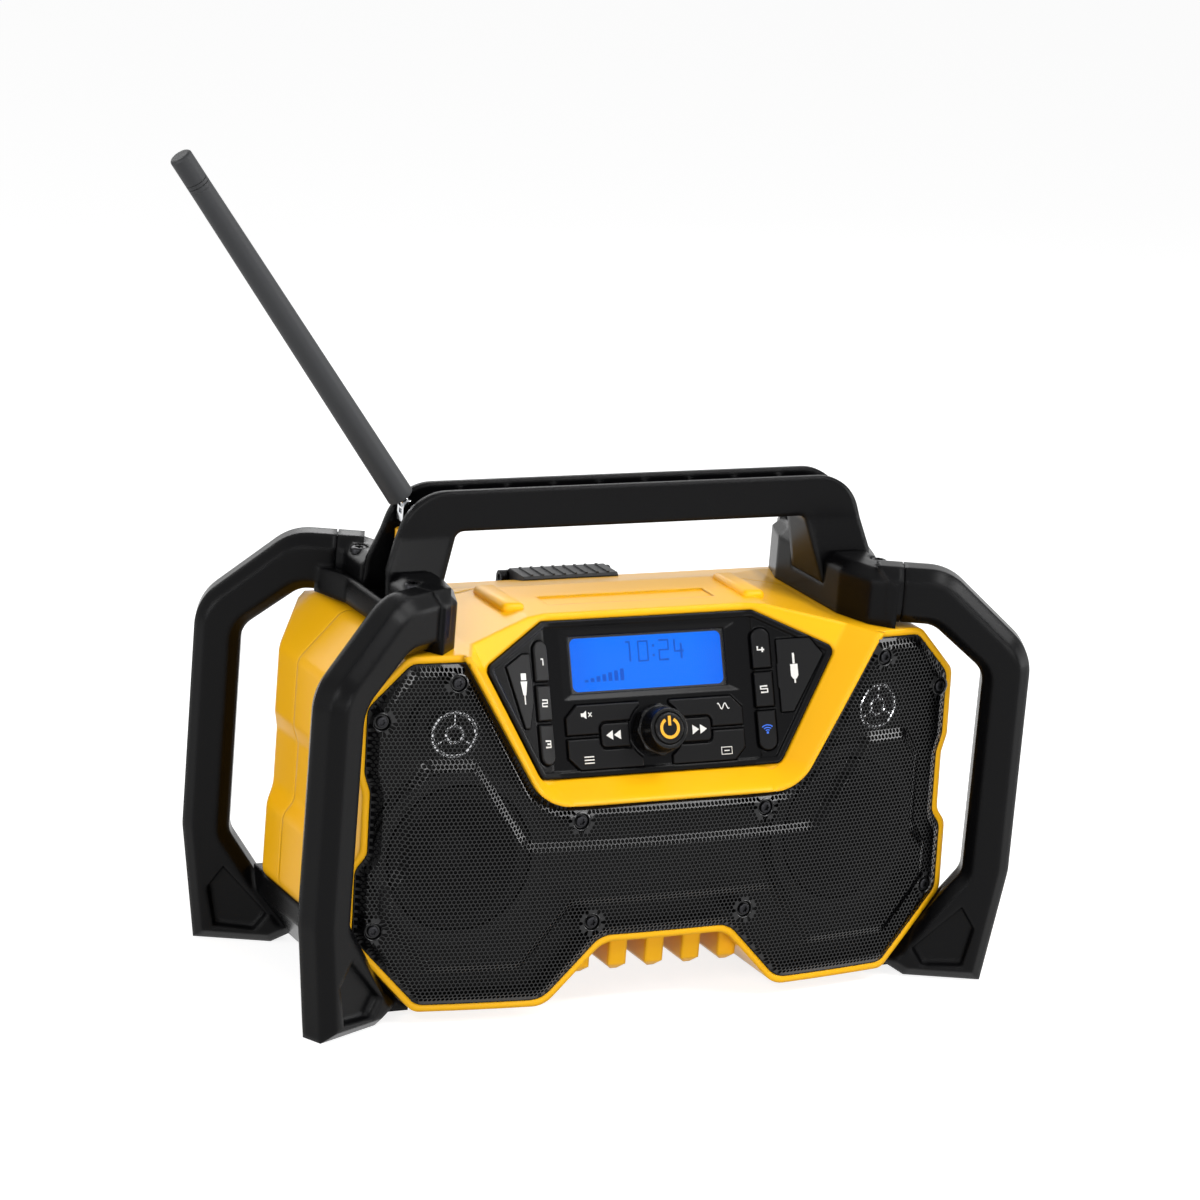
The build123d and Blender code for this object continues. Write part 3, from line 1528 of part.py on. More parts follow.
# ---- handle: a channel, open upwards, that holds the folded antenna ----
def handle_side(inset, low_z, plane):
    """Half width of the handle against height, flared towards its feet."""
    with BuildSketch(plane) as section:
        with BuildLine() as half:
            Polyline(
                (0, handle_top_z + inset),
                (handle_half - inset, handle_top_z + inset),
                (handle_half - inset, handle_flare_z),
                (handle_foot_half - inset, low_z),
                (0, low_z),
            )
            mirror(half.line, about=Plane.YZ)
        make_face()
    return section.sketch


shoulder_drop_z = handle_top_z - (hub_out - handle_corner_x) / handle_slope
foot_in_x = handle_inner_x + handle_inner_slope * (handle_under_z - hub_floor_z)
trough_floor_z = handle_under_z + web
with BuildPart() as trough:
    with BuildSketch(Plane.XZ):
        with BuildLine() as channel:
            Polyline(
                (0, big),
                (big / 2, big),
                (big / 2, hub_floor_z),
                (foot_in_x + web, hub_floor_z),
                (handle_inner_x + web, trough_floor_z),
                (0, trough_floor_z),
            )
            mirror(channel.line, about=Plane.YZ)
        make_face()
    extrude(amount=handle_foot_half, both=True)
    extrude(handle_side(flange, hub_floor_z, Plane.YZ), amount=big / 2, both=True, mode=Mode.INTERSECT)

with BuildPart() as handle:
    with BuildSketch(Plane.XZ):
        with BuildLine() as arch:
            Polyline(
                (0, handle_top_z),
                (handle_corner_x, handle_top_z),
                (hub_out, shoulder_drop_z),
                (hub_out, hub_floor_z),
                (foot_in_x, hub_floor_z),
                (handle_inner_x, handle_under_z),
                (0, handle_under_z),
            )
            mirror(arch.line, about=Plane.YZ)
        make_face()
    extrude(amount=handle_foot_half, both=True)
    crown = handle.edges().filter_by(Axis.Y).group_by(Axis.Z)
    fillet(crown[-1], radius=handle_round)
    inner = handle.edges().filter_by(Axis.Y).filter_by_position(Axis.Z, handle_under_z, handle_under_z)
    fillet(inner, radius=handle_inner_round)
    extrude(handle_side(0, hub_floor_z, Plane.YZ), amount=big / 2, both=True, mode=Mode.INTERSECT)
    add(trough.part, mode=Mode.SUBTRACT)
    with Locations((0, handle_half - flange - clip_reach / 2, handle_top_z - clip_height / 2 - flange)):
        with GridLocations(clip_pitch, 0, clip_count, 1):
            Box(clip_gauge, clip_reach, clip_height)
handle.part.label = "handle"
export_step(handle.part, "parts/handle.step")

# ---- antenna: socket, swivelling post with its fork, and the folding rod in its sheath ----
base_plane = Plane(origin=(antenna_x, 0, hub_floor_z))
post_low_z = socket_top_z - post_engage

with BuildPart() as antenna_socket:
    with BuildSketch(base_plane):
        Circle(socket_flange)
    extrude(amount=web)
    with BuildSketch(base_plane):
        Circle(socket_radius)
    extrude(amount=socket_top_z - hub_floor_z)
    with BuildSketch(Plane(origin=(antenna_x, 0, post_low_z - fit_gap))):
        Circle(post_radius + post_play)
    extrude(amount=socket_top_z, mode=Mode.SUBTRACT)
antenna_socket.part.label = "antenna_socket"
export_step(antenna_socket.part, "parts/antenna_socket.step")

with BuildPart() as antenna_collar:
    with BuildSketch(Plane(origin=(antenna_x, 0, socket_top_z))):
        Circle(collar_radius)
        Circle(post_radius + post_play, mode=Mode.SUBTRACT)
    extrude(amount=collar_height)
    chamfer(antenna_collar.edges().group_by(Axis.Z)[-1], length=key_edge)
antenna_collar.part.label = "antenna_collar"
export_step(antenna_collar.part, "parts/antenna_collar.step")

with BuildPart() as antenna_post:
    with BuildSketch(Plane(origin=(antenna_x, 0, post_low_z))):
        Circle(post_radius)
    extrude(amount=antenna_z - fork_base - post_low_z)
    with BuildSketch(Plane.XZ.offset(-fork_half)):
        with Locations((antenna_x, antenna_z)):
            Circle(fork_radius)
        with Locations((antenna_x, antenna_z - fork_base / 2)):
            Rectangle(2 * fork_radius, fork_base)
    extrude(amount=2 * fork_half)
    with BuildSketch(Plane.XZ.offset(-tongue_half - fork_gap)):
        with Locations((antenna_x, antenna_z)):
            Circle(fork_radius + fit_gap)
            Rectangle(2 * (fork_radius + fit_gap), 2 * (rod_radius + fit_gap))
            with Locations((0, fork_radius)):
                Rectangle(2 * (fork_radius + fit_gap), 2 * fork_radius)
    extrude(amount=2 * (tongue_half + fork_gap), mode=Mode.SUBTRACT)
    with BuildSketch(Plane.XZ.offset(-fork_half)):
        with Locations((antenna_x, antenna_z)):
            Circle(pin_radius)
    extrude(amount=2 * fork_half, mode=Mode.SUBTRACT)
antenna_post.part.label = "antenna_post"
export_step(antenna_post.part, "parts/antenna_post.step")

with BuildPart() as antenna_pin:
    with BuildSketch(Plane.XZ.offset(-fork_half)):
        with Locations((antenna_x, antenna_z)):
            Circle(pin_radius)
    extrude(amount=2 * fork_half)
antenna_pin.part.label = "antenna_pin"
export_step(antenna_pin.part, "parts/antenna_pin.step")

with BuildPart() as antenna_rod:
    with BuildSketch(Plane.XZ.offset(-tongue_half)):
        with Locations((antenna_x, antenna_z)):
            Circle(fork_radius)
    extrude(amount=2 * tongue_half)
    with BuildSketch(antenna_plane):
        Rectangle(2 * rod_radius, 2 * tongue_half)
    extrude(amount=rod_start + rod_radius)
    with BuildSketch(antenna_plane.offset(rod_start)):
        Circle(rod_radius)
    extrude(amount=rod_end - rod_start)
    with BuildSketch(Plane.XZ.offset(-fork_half)):
        with Locations((antenna_x, antenna_z)):
            Circle(pin_radius + post_play)
    extrude(amount=2 * fork_half, mode=Mode.SUBTRACT)
antenna_rod.part.label = "antenna_rod"
export_step(antenna_rod.part, "parts/antenna_rod.step")

with BuildPart() as antenna_sheath:
    with BuildSketch(antenna_plane.offset(sheath_start)):
        Circle(sheath_base_radius)
    with BuildSketch(antenna_plane.offset(sheath_end)):
        Circle(sheath_end_radius)
    loft()
    with BuildSketch(antenna_plane.offset(sheath_start)):
        Circle(rod_radius)
    extrude(amount=sheath_end - sheath_start, mode=Mode.SUBTRACT)
antenna_sheath.part.label = "antenna_sheath"
export_step(antenna_sheath.part, "parts/antenna_sheath.step")

with BuildPart() as antenna_tip:
    with BuildSketch(antenna_plane.offset(sheath_end)):
        Circle(sheath_end_radius)
    extrude(amount=tip_end - sheath_end)
    end_face = antenna_tip.faces().sort_by(Axis(antenna_plane.origin, antenna_plane.z_dir))[-1]
    fillet(end_face.edges(), radius=tip_round)
    for step in range(tip_groove_count):
        with BuildSketch(antenna_plane.offset(sheath_end + (step + 1) * tip_groove_pitch)):
            Circle(sheath_end_radius)
            Circle(sheath_end_radius - tip_groove, mode=Mode.SUBTRACT)
        extrude(amount=tip_groove, mode=Mode.SUBTRACT)
    with BuildSketch(antenna_plane.offset(sheath_end)):
        Circle(rod_radius)
    extrude(amount=rod_end - sheath_end, mode=Mode.SUBTRACT)
antenna_tip.part.label = "antenna_tip"
export_step(antenna_tip.part, "parts/antenna_tip.step")

# ---- battery door, its hinge pin and its latch ----
with BuildPart() as battery_door:
    with BuildSketch(Plane.XZ.offset(-rear_y - fit_gap)):
        with Locations((0, (door_low_z + door_high_z) / 2)):
            Rectangle(2 * door_half, door_high_z - door_low_z)
    extrude(amount=rear_y + fit_gap - door_back_y)
    back = battery_door.faces().sort_by(Axis.Y)[-1]
    chamfer(back.edges(), length=door_chamfer)
    with BuildSketch(Plane.XZ.offset(-rear_y - fit_gap)):
        with Locations((0, (door_low_z + door_high_z) / 2)):
            Rectangle(2 * (door_half - door_wall), door_high_z - door_low_z - 2 * door_wall)
    extrude(amount=rear_y + fit_gap - door_back_y + door_wall, taper=door_taper, mode=Mode.SUBTRACT)
    for side in (-1, 1):
        with BuildSketch(Plane.YZ.offset(side * knuckle_x - knuckle_length / 2)):
            with Locations((hinge_y, hinge_z)):
                Circle(hinge_radius)
            with Locations((hinge_y, (hinge_z + door_low_z + door_wall) / 2)):
                Rectangle(2 * hinge_radius, door_low_z + door_wall - hinge_z)
        extrude(amount=knuckle_length)
        with BuildSketch(Plane.YZ.offset(side * (latch_half + fit_gap + latch_lug / 2) - latch_lug / 2)):
            with Locations((latch_pivot_y, latch_pivot_z)):
                Circle(latch_barrel)
            with Locations((latch_pivot_y, (latch_pivot_z + door_high_z - door_wall) / 2)):
                Rectangle(2 * latch_barrel, latch_pivot_z - door_high_z + door_wall)
        extrude(amount=latch_lug)
    with BuildSketch(Plane.YZ.offset(-bay_half)):
        with Locations((hinge_y, hinge_z)):
            Circle(hinge_pin_radius + hinge_play)
        with Locations((latch_pivot_y, latch_pivot_z)):
            Circle(latch_stub_radius + hinge_play)
    extrude(amount=2 * bay_half, mode=Mode.SUBTRACT)
battery_door.part.label = "battery_door"
export_step(battery_door.part, "parts/battery_door.step")

pin_half = knuckle_x + knuckle_length / 2 + ear_gap + ear_length
with BuildPart() as door_hinge_pin:
    with BuildSketch(Plane.YZ.offset(-pin_half)):
        with Locations((hinge_y, hinge_z)):
            Circle(hinge_pin_radius)
    extrude(amount=2 * pin_half)
door_hinge_pin.part.label = "door_hinge_pin"
export_step(door_hinge_pin.part, "parts/door_hinge_pin.step")

with BuildPart() as door_latch:
    with BuildSketch(Plane.YZ.offset(-latch_half)):
        with BuildLine():
            Polyline(
                (latch_front_y, latch_low_z),
                (latch_front_y, latch_high_z - latch_rib),
                (latch_front_y + latch_rib, latch_high_z),
                (latch_pivot_y - 2 * latch_rib, latch_high_z),
                (latch_pivot_y, latch_pivot_z + latch_barrel),
                (latch_pivot_y, latch_pivot_z - latch_barrel),
                (latch_pivot_y - latch_barrel, latch_low_z),
                close=True,
            )
        make_face()
        with Locations((latch_pivot_y, latch_pivot_z)):
            Circle(latch_barrel)
    extrude(amount=2 * latch_half)
    with Locations((0, (latch_front_y + latch_pivot_y) / 2 - latch_rib, latch_high_z)):
        with GridLocations(latch_rib_pitch, 0, latch_rib_count, 1):
            Box(latch_rib, latch_pivot_y - latch_front_y - 4 * latch_rib, 2 * latch_rib_height)
    with BuildSketch(Plane.YZ.offset(-latch_half - latch_stub)):
        with Locations((latch_pivot_y, latch_pivot_z)):
            Circle(latch_stub_radius)
    extrude(amount=2 * (latch_half + latch_stub))
door_latch.part.label = "door_latch"
export_step(door_latch.part, "parts/door_latch.step")

# ---- battery terminals and DC inlet ----
with BuildPart() as battery_terminals:
    with Locations((0, bay_front_y, bay_low_z + terminal_lift)):
        Box(
            2 * terminal_half,
            terminal_base,
            2 * terminal_half_high,
            align=(Align.CENTER, Align.MIN, Align.MIN),
        )
    with Locations((0, bay_front_y + terminal_base, bay_low_z + terminal_lift + terminal_half_high)):
        with GridLocations(blade_pitch, 0, blade_count, 1):
            Box(blade_gauge, terminal_y, 2 * blade_half, align=(Align.CENTER, Align.MIN, Align.CENTER))
battery_terminals.part.label = "battery_terminals"
export_step(battery_terminals.part, "parts/battery_terminals.step")

dc_plane = Plane(origin=(dc_x, rear_y, dc_z), x_dir=(-1, 0, 0), z_dir=(0, 1, 0))
with BuildPart() as dc_inlet:
    with BuildSketch(dc_plane):
        Circle(dc_flange)
    extrude(amount=dc_flange_gauge)
    with BuildSketch(dc_plane):
        Circle(dc_radius)
    extrude(amount=-dc_length)
    with BuildSketch(dc_plane.offset(dc_flange_gauge)):
        Circle(dc_bore)
        Circle(dc_pin, mode=Mode.SUBTRACT)
    extrude(amount=-dc_bore_depth, mode=Mode.SUBTRACT)
dc_inlet.part.label = "dc_inlet"
export_step(dc_inlet.part, "parts/dc_inlet.step")
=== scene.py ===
# %% [markdown]
# # Jobsite radio: looks round a fixed frame
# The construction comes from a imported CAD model. Each of its nodes stays where it is and is
# given a finish here. The pressed and perforated grille, the screws and all printing are
# modelled in Blender, because their detail is too fine for the CAD model.

# %% Load the frame
from math import cos, pi, radians, sin, sqrt, tan

import bpy
import numpy as np
from mathutils import Matrix, Quaternion, Vector


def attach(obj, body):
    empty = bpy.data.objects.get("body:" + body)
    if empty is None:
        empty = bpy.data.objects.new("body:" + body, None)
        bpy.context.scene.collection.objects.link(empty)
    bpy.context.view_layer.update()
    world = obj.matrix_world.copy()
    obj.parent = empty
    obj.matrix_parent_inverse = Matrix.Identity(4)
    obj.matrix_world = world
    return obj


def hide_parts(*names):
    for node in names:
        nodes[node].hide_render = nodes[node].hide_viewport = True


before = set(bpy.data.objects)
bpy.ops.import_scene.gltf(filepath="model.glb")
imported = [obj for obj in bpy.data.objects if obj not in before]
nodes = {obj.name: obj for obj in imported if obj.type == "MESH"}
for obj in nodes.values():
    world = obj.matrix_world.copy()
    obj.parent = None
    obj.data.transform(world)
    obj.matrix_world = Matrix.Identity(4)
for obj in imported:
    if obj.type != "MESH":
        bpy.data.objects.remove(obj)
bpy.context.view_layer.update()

MM = 0.001

# %% [markdown]
# ## Where things are
# The control panel leans back, and its two wings fold back from it. Every key and print is
# placed in millimetres on one of these three faces, so each face gets its own matrix whose
# columns are the face's right, its up and its outward normal.

# %% Faces of the control panel
PANEL_LEAN = radians(21.1)
PANEL_ORIGIN = Vector((0, -43.3, 149.0))
FOLD_X = 53.0
WING_ANGLE = radians(19.3)
panel_up = Vector((0, sin(PANEL_LEAN), cos(PANEL_LEAN)))
panel_normal = Vector((0, -cos(PANEL_LEAN), sin(PANEL_LEAN)))


def face_matrix(origin, right, normal):
    """Matrix from a face's own millimetres to metres in the frame."""
    up = normal.cross(right)
    turned = Matrix((right, up, normal)).transposed().to_4x4()
    return Matrix.Translation(origin * MM) @ turned @ Matrix.Scale(MM, 4)


faces = {"middle": face_matrix(PANEL_ORIGIN, Vector((1, 0, 0)), panel_normal)}
for hand, side in (("right", 1), ("left", -1)):
    wing_normal = Matrix.Rotation(-side * WING_ANGLE, 3, panel_up) @ panel_normal
    wing_right = Matrix.Rotation(-side * WING_ANGLE, 3, panel_up) @ Vector((1, 0, 0))
    fold = PANEL_ORIGIN + Vector((side * FOLD_X, 0, 0))
    faces[hand] = face_matrix(fold, wing_right, wing_normal)
print("right wing normal", [round(v, 4) for v in faces["right"].col[2][:3]])

# %% [markdown]
# ## Camera, lights and floor
# A long lens from the left and a little above. Seven soft lamps stand round the radio: narrow
# ones are aimed so that their mirror images run along black edges as pale streaks, and the
# others fill in. To the camera and in reflections the world is white and the floor nearly so,
# and both light the radio less than they show.

# %% Camera
CAMERA_PLACE = Vector((-1.02325, -1.96026, 0.79514))
CAMERA_FORWARD = Vector((0.44252595, 0.85604585, -0.26712599))
CAMERA_UP = Vector((0.0484988, 0.27459805, 0.96033524))
CAMERA_LENS = 141.66

camera_data = bpy.data.cameras.new("camera")
camera_data.lens = CAMERA_LENS
camera_data.sensor_width = 36.0
camera = bpy.data.objects.new("camera", camera_data)
bpy.context.scene.collection.objects.link(camera)
camera_right = CAMERA_FORWARD.cross(CAMERA_UP)
turned = Matrix((camera_right, CAMERA_UP, -CAMERA_FORWARD)).transposed().to_4x4()
camera.matrix_world = Matrix.Translation(CAMERA_PLACE) @ turned
bpy.context.scene.camera = camera
bpy.context.scene.view_settings.view_transform = "Standard"
print("camera at", tuple(round(v, 3) for v in camera.location))


# %% Soft lamps
LAMP_AIM = Vector((0, 0, 0.12))
# Each lamp has its place and its size in metres, its power in watts and its roll in degrees.
LAMPS = {
    "lamp_strip": ((0.53, -0.66, 0.99), (1.1, 0.16), 7.5, -31),
    "lamp_top": ((0.5, -0.28, 1.17), (0.5, 0.22), 3.5, 0),
    "lamp_upper_left": ((-0.95, -0.95, 0.85), (0.5, 0.3), 5, 0),
    "lamp_left": ((-1.35, -0.15, 0.5), (0.25, 0.8), 6, 0),
    "lamp_right": ((1.3, -0.35, 0.32), (0.3, 0.5), 6, 0),
    "lamp_back": ((-0.1, 1.25, 0.75), (1.4, 0.3), 5.5, 0),
    "lamp_low": ((0.1, -1.7, 0.35), (1.0, 0.25), 8, 0),
}
for name, (place, (width, height), power, roll) in LAMPS.items():
    data = bpy.data.lights.new(name, "AREA")
    data.shape, data.size, data.size_y, data.energy = "RECTANGLE", width, height, power
    lamp = bpy.data.objects.new(name, data)
    bpy.context.scene.collection.objects.link(lamp)
    lamp.location = place
    lamp.rotation_mode = "QUATERNION"
    aimed = (LAMP_AIM - Vector(place)).to_track_quat("-Z", "Y")
    lamp.rotation_quaternion = aimed @ Quaternion((0, 0, 1), radians(roll))
print(len(LAMPS), "lamps")


# %% Helpers for node trees, and colour from hex
COLOUR_MIX = {"data_type": "RGBA"}


def linear(code):
    """Linear colour with alpha 1 from an sRGB hex code."""
    values = [int(code[i : i + 2], 16) / 255 for i in (1, 3, 5)]
    return tuple(v / 12.92 if v <= 0.04045 else ((v + 0.055) / 1.055) ** 2.4 for v in values) + (1,)


def put(tree, kind, settings=None, **sockets):
    """Add a node with its settings; each socket takes a value or another node's output."""
    made = tree.nodes.new(kind)
    for name, value in (settings or {}).items():
        setattr(made, name, value)
    for name, value in sockets.items():
        socket = made.inputs[int(name[1:]) if name[1:].isdigit() else name.replace("_", " ")]
        if isinstance(value, bpy.types.NodeSocket):
            tree.links.new(value, socket)
        else:
            socket.default_value = value
    return made


def blank_material(name):
    """A material with an empty node tree, and that tree."""
    material = bpy.data.materials.new(name)
    material.use_nodes = True
    material.node_tree.nodes.clear()
    return material, material.node_tree


def seen_ray(tree):
    """1 for a ray from the camera, through the window or off a gloss, else 0."""
    path = put(tree, "ShaderNodeLightPath").outputs
    larger = {"operation": "MAXIMUM"}
    seen = path["Is Camera Ray"]
    for kind in ("Is Transmission Ray", "Is Glossy Ray"):
        seen = put(tree, "ShaderNodeMath", larger, s0=seen, s1=path[kind]).outputs[0]
    return seen


# %% Floor and world
WORLD_LEVEL = 0.3
FLOOR_GLOW = 0.82
FLOOR_SIZE = 40
WHITE = (1, 1, 1, 1)
world = bpy.data.worlds.new("studio")
bpy.context.scene.world = world
world.use_nodes = True
tree = world.node_tree
tree.nodes.clear()
share = seen_ray(tree)
level = put(tree, "ShaderNodeMix", {"data_type": "FLOAT"}, s0=share, s2=WORLD_LEVEL, s3=1.0)
glow = put(tree, "ShaderNodeBackground", Color=WHITE, Strength=level.outputs[0])
put(tree, "ShaderNodeOutputWorld", Surface=glow.outputs[0])

bpy.ops.object.select_all(action="DESELECT")
bpy.ops.mesh.primitive_plane_add(size=FLOOR_SIZE, location=(0, 0, 0))
floor = bpy.context.object
floor.name = "floor"
paint, tree = blank_material("studio_floor_paint")
matte = put(tree, "ShaderNodeBsdfDiffuse", Color=linear("#B4B4B4"))
lift = put(tree, "ShaderNodeMath", {"operation": "MULTIPLY"}, s0=seen_ray(tree), s1=FLOOR_GLOW)
glow = put(tree, "ShaderNodeEmission", Color=WHITE, Strength=lift.outputs[0])
both = put(tree, "ShaderNodeAddShader", s0=matte.outputs[0], s1=glow.outputs[0])
put(tree, "ShaderNodeOutputMaterial", Surface=both.outputs[0])
floor.data.materials.append(paint)
print("floor", tuple(floor.dimensions))

# %% [markdown]
# ## Finishes
# Most of the radio is moulded plastic. A mould's surface is spark eroded or polished, so its
# plastic has a fine even grain and slightly uneven gloss. Its corners are a little round, which
# the Bevel node shows on the CAD nodes, whose mesh stays as it is.


# %% Moulded plastic and rubber
CLOUD_SIZE = 40 * MM
# An edge counts as sharp where the rounded normal leaves the face's own by these cosines.
EDGE_STARTS, EDGE_FULL, EDGE_SHARE = 0.985, 0.9, 0.35


def moulded(name, colour, shade, gloss, grain_mm, depth_mm, edge_mm, wear=None, shine=0.5):
    """A moulded finish: two close tones, a band of roughness, a grain and a rounded edge."""
    material, tree = blank_material(name)
    place = put(tree, "ShaderNodeTexCoord").outputs["Object"]
    cloud = put(tree, "ShaderNodeTexNoise", Vector=place, Scale=1 / CLOUD_SIZE, Detail=3.0)
    grain = put(tree, "ShaderNodeTexNoise", Vector=place, Scale=1 / (grain_mm * MM), Detail=2.0)
    cloud, grain = cloud.outputs[0], grain.outputs[0]
    tone = put(tree, "ShaderNodeMix", COLOUR_MIX, s0=cloud, s6=linear(colour), s7=linear(shade))
    tone = tone.outputs[2]
    rough = put(tree, "ShaderNodeMapRange", Value=grain, s3=gloss[0], s4=gloss[1]).outputs[0]
    soft = put(tree, "ShaderNodeBevel", {"samples": 6}, Radius=edge_mm * MM).outputs[0]
    if wear:
        sharp = put(tree, "ShaderNodeNewGeometry").outputs["Normal"]
        dot = {"operation": "DOT_PRODUCT"}
        apart = put(tree, "ShaderNodeVectorMath", dot, s0=soft, s1=sharp).outputs["Value"]
        ends = {"s1": EDGE_STARTS, "s2": EDGE_FULL, "s3": 0.0, "s4": EDGE_SHARE}
        rub = put(tree, "ShaderNodeMapRange", Value=apart, **ends).outputs[0]
        tone = put(tree, "ShaderNodeMix", COLOUR_MIX, s0=rub, s6=tone, s7=linear(wear)).outputs[2]
    depth = depth_mm * MM
    bump = put(tree, "ShaderNodeBump", Height=grain, Distance=depth, Strength=1.0, Normal=soft)
    skin = put(tree, "ShaderNodeBsdfPrincipled", Base_Color=tone, Roughness=rough, IOR=1.5)
    skin.inputs["Specular IOR Level"].default_value = shine
    tree.links.new(bump.outputs[0], skin.inputs["Normal"])
    put(tree, "ShaderNodeOutputMaterial", Surface=skin.outputs[0])
    return material


# Impact-modified ABS, moulded in yellow: satin, with the faint orange peel of a thick wall.
yellow_abs = moulded(
    "yellow_impact_abs", "#FDBD14", "#FBB70C", (0.26, 0.36), 1.6, 0.010, 3.0, shine=0.2
)
# Glass-filled nylon: hard black, a coarser spark-eroded grain, greyer where hands rub it.
black_nylon = moulded(
    "black_glass_filled_nylon", "#050506", "#070708", (0.2, 0.3), 0.9, 0.010, 4.0, "#0E0E10", 0.1
)
# Bezel in black ABS with a finer mould: nearly glossy.
panel_abs = moulded(
    "black_bezel_abs", "#060607", "#08080A", (0.14, 0.22), 0.7, 0.005, 1.6, shine=0.11
)
# Key caps in black silicone-coated plastic: soft matte.
key_rubber = moulded(
    "black_key_coating", "#08080A", "#0B0B0C", (0.3, 0.4), 0.6, 0.006, 0.8, shine=0.14
)
# Thermoplastic rubber of the socket covers: matte, slightly dusty.
cover_rubber = moulded(
    "black_cover_rubber", "#08080A", "#0C0C0D", (0.36, 0.46), 0.6, 0.010, 0.8, shine=0.14
)
# Knob in black ABS, satin so that the light rings its face.
knob_abs = moulded("black_knob_abs", "#080809", "#0B0B0C", (0.2, 0.28), 0.7, 0.005, 1.4, shine=0.2)
# The antenna's sheath is a dark grey thermoplastic rubber, quite dull.
sheath_rubber = moulded(
    "grey_antenna_rubber", "#2B2C2E", "#262729", (0.5, 0.6), 0.8, 0.015, 0.6, shine=0.3
)
# Acetal bush of the antenna, moulded in the housing's yellow.
collar_acetal = moulded("yellow_acetal_bush", "#F8B512", "#F2AC0A", (0.26, 0.34), 1.0, 0.005, 0.5)
# Zinc die casting left grey under a clear coat.
socket_zinc = moulded("grey_cast_zinc", "#8C8C8A", "#7E7E7D", (0.35, 0.5), 0.8, 0.01, 0.4)
# Latch in a dark grey nylon, dull so that a finger grips it.
latch_nylon = moulded(
    "dark_grey_latch_nylon", "#222324", "#29292B", (0.45, 0.55), 0.8, 0.02, 0.6, shine=0.3
)
# The speaker baffle and the terminal block are plain black polypropylene inside the case.
inner_black = moulded(
    "black_polypropylene", "#080808", "#0B0B0B", (0.5, 0.6), 1.0, 0.01, 0.5, shine=0.2
)
# Treated paper of the cones: dull, fibrous.
cone_paper = moulded(
    "treated_paper_cone", "#080809", "#0C0C0D", (0.7, 0.85), 0.8, 0.05, 0.3, shine=0.2
)
# Baskets of the woofers: pressed steel under a dull black enamel.
frame_enamel = moulded(
    "black_basket_enamel", "#080809", "#0B0B0C", (0.45, 0.6), 0.8, 0.01, 0.5, shine=0.2
)
# Solder mask over glass fibre board.
board_mask = moulded("green_solder_mask", "#0F5A2A", "#0B4A22", (0.25, 0.35), 0.9, 0.004, 0.2)
print("14 moulded finishes")


# %% [markdown]
# Metals differ: the antenna's knuckle is bright chrome plate, the screws are blackened steel,
# and what is inside is zinc plated. Plating follows the turned surface below it, so each has a
# fine stretched noise in its roughness.


# %% Metals
def plated(name, colour, gloss, grain_mm, depth_mm):
    """A plated metal: turned marks in its gloss, and a faint waviness."""
    material, tree = blank_material(name)
    place = put(tree, "ShaderNodeTexCoord").outputs["Object"]
    along = put(tree, "ShaderNodeMapping", Vector=place, Scale=(1, 1, 6)).outputs[0]
    marks = put(tree, "ShaderNodeTexNoise", Vector=along, Scale=1 / (grain_mm * MM), Detail=3.0)
    marks = marks.outputs[0]
    rough = put(tree, "ShaderNodeMapRange", Value=marks, s3=gloss[0], s4=gloss[1]).outputs[0]
    bump = put(tree, "ShaderNodeBump", Height=marks, Distance=depth_mm * MM, Strength=0.6)
    look = {"Base_Color": linear(colour), "Metallic": 1.0, "Roughness": rough}
    skin = put(tree, "ShaderNodeBsdfPrincipled", Normal=bump.outputs[0], **look)
    put(tree, "ShaderNodeOutputMaterial", Surface=skin.outputs[0])
    return material


chrome = plated("bright_chrome_plate", "#D8D9DB", (0.08, 0.18), 2.0, 0.003)
zinc_plate = plated("zinc_plated_steel", "#A9ABAE", (0.28, 0.42), 1.5, 0.005)
black_oxide = plated("black_oxide_steel", "#2A2A2C", (0.3, 0.42), 1.2, 0.004)
print("3 metals")


# %% Printing inks, display and lens
MOTTLE_SIZE = 0.8 * MM


def flat_ink(name, colour, shade, gloss):
    """Pad-printed ink: an even film with a hint of mottling."""
    material, tree = blank_material(name)
    place = put(tree, "ShaderNodeTexCoord").outputs["Object"]
    cloud = put(tree, "ShaderNodeTexNoise", Vector=place, Scale=1 / MOTTLE_SIZE, Detail=2.0)
    cloud = cloud.outputs[0]
    tone = put(tree, "ShaderNodeMix", COLOUR_MIX, s0=cloud, s6=linear(colour), s7=linear(shade))
    tone = tone.outputs[2]
    skin = put(tree, "ShaderNodeBsdfPrincipled", Base_Color=tone, Roughness=gloss)
    put(tree, "ShaderNodeOutputMaterial", Surface=skin.outputs[0])
    return material


white_ink = flat_ink("white_pad_print_ink", "#E9E9E6", "#D6D6D3", 0.5)
blue_ink = flat_ink("blue_pad_print_ink", "#1F5FD6", "#2A6CE0", 0.5)
yellow_ink = flat_ink("yellow_moulded_ring", "#F2B01E", "#E9A413", 0.4)
screen_mask = flat_ink("black_screen_mask", "#050506", "#08080A", 0.4)

LCD_FACE = {"Roughness": 0.4, "Specular_IOR_Level": 0.1}
FADE_FROM, FADE_TO = 25 * MM, 44 * MM

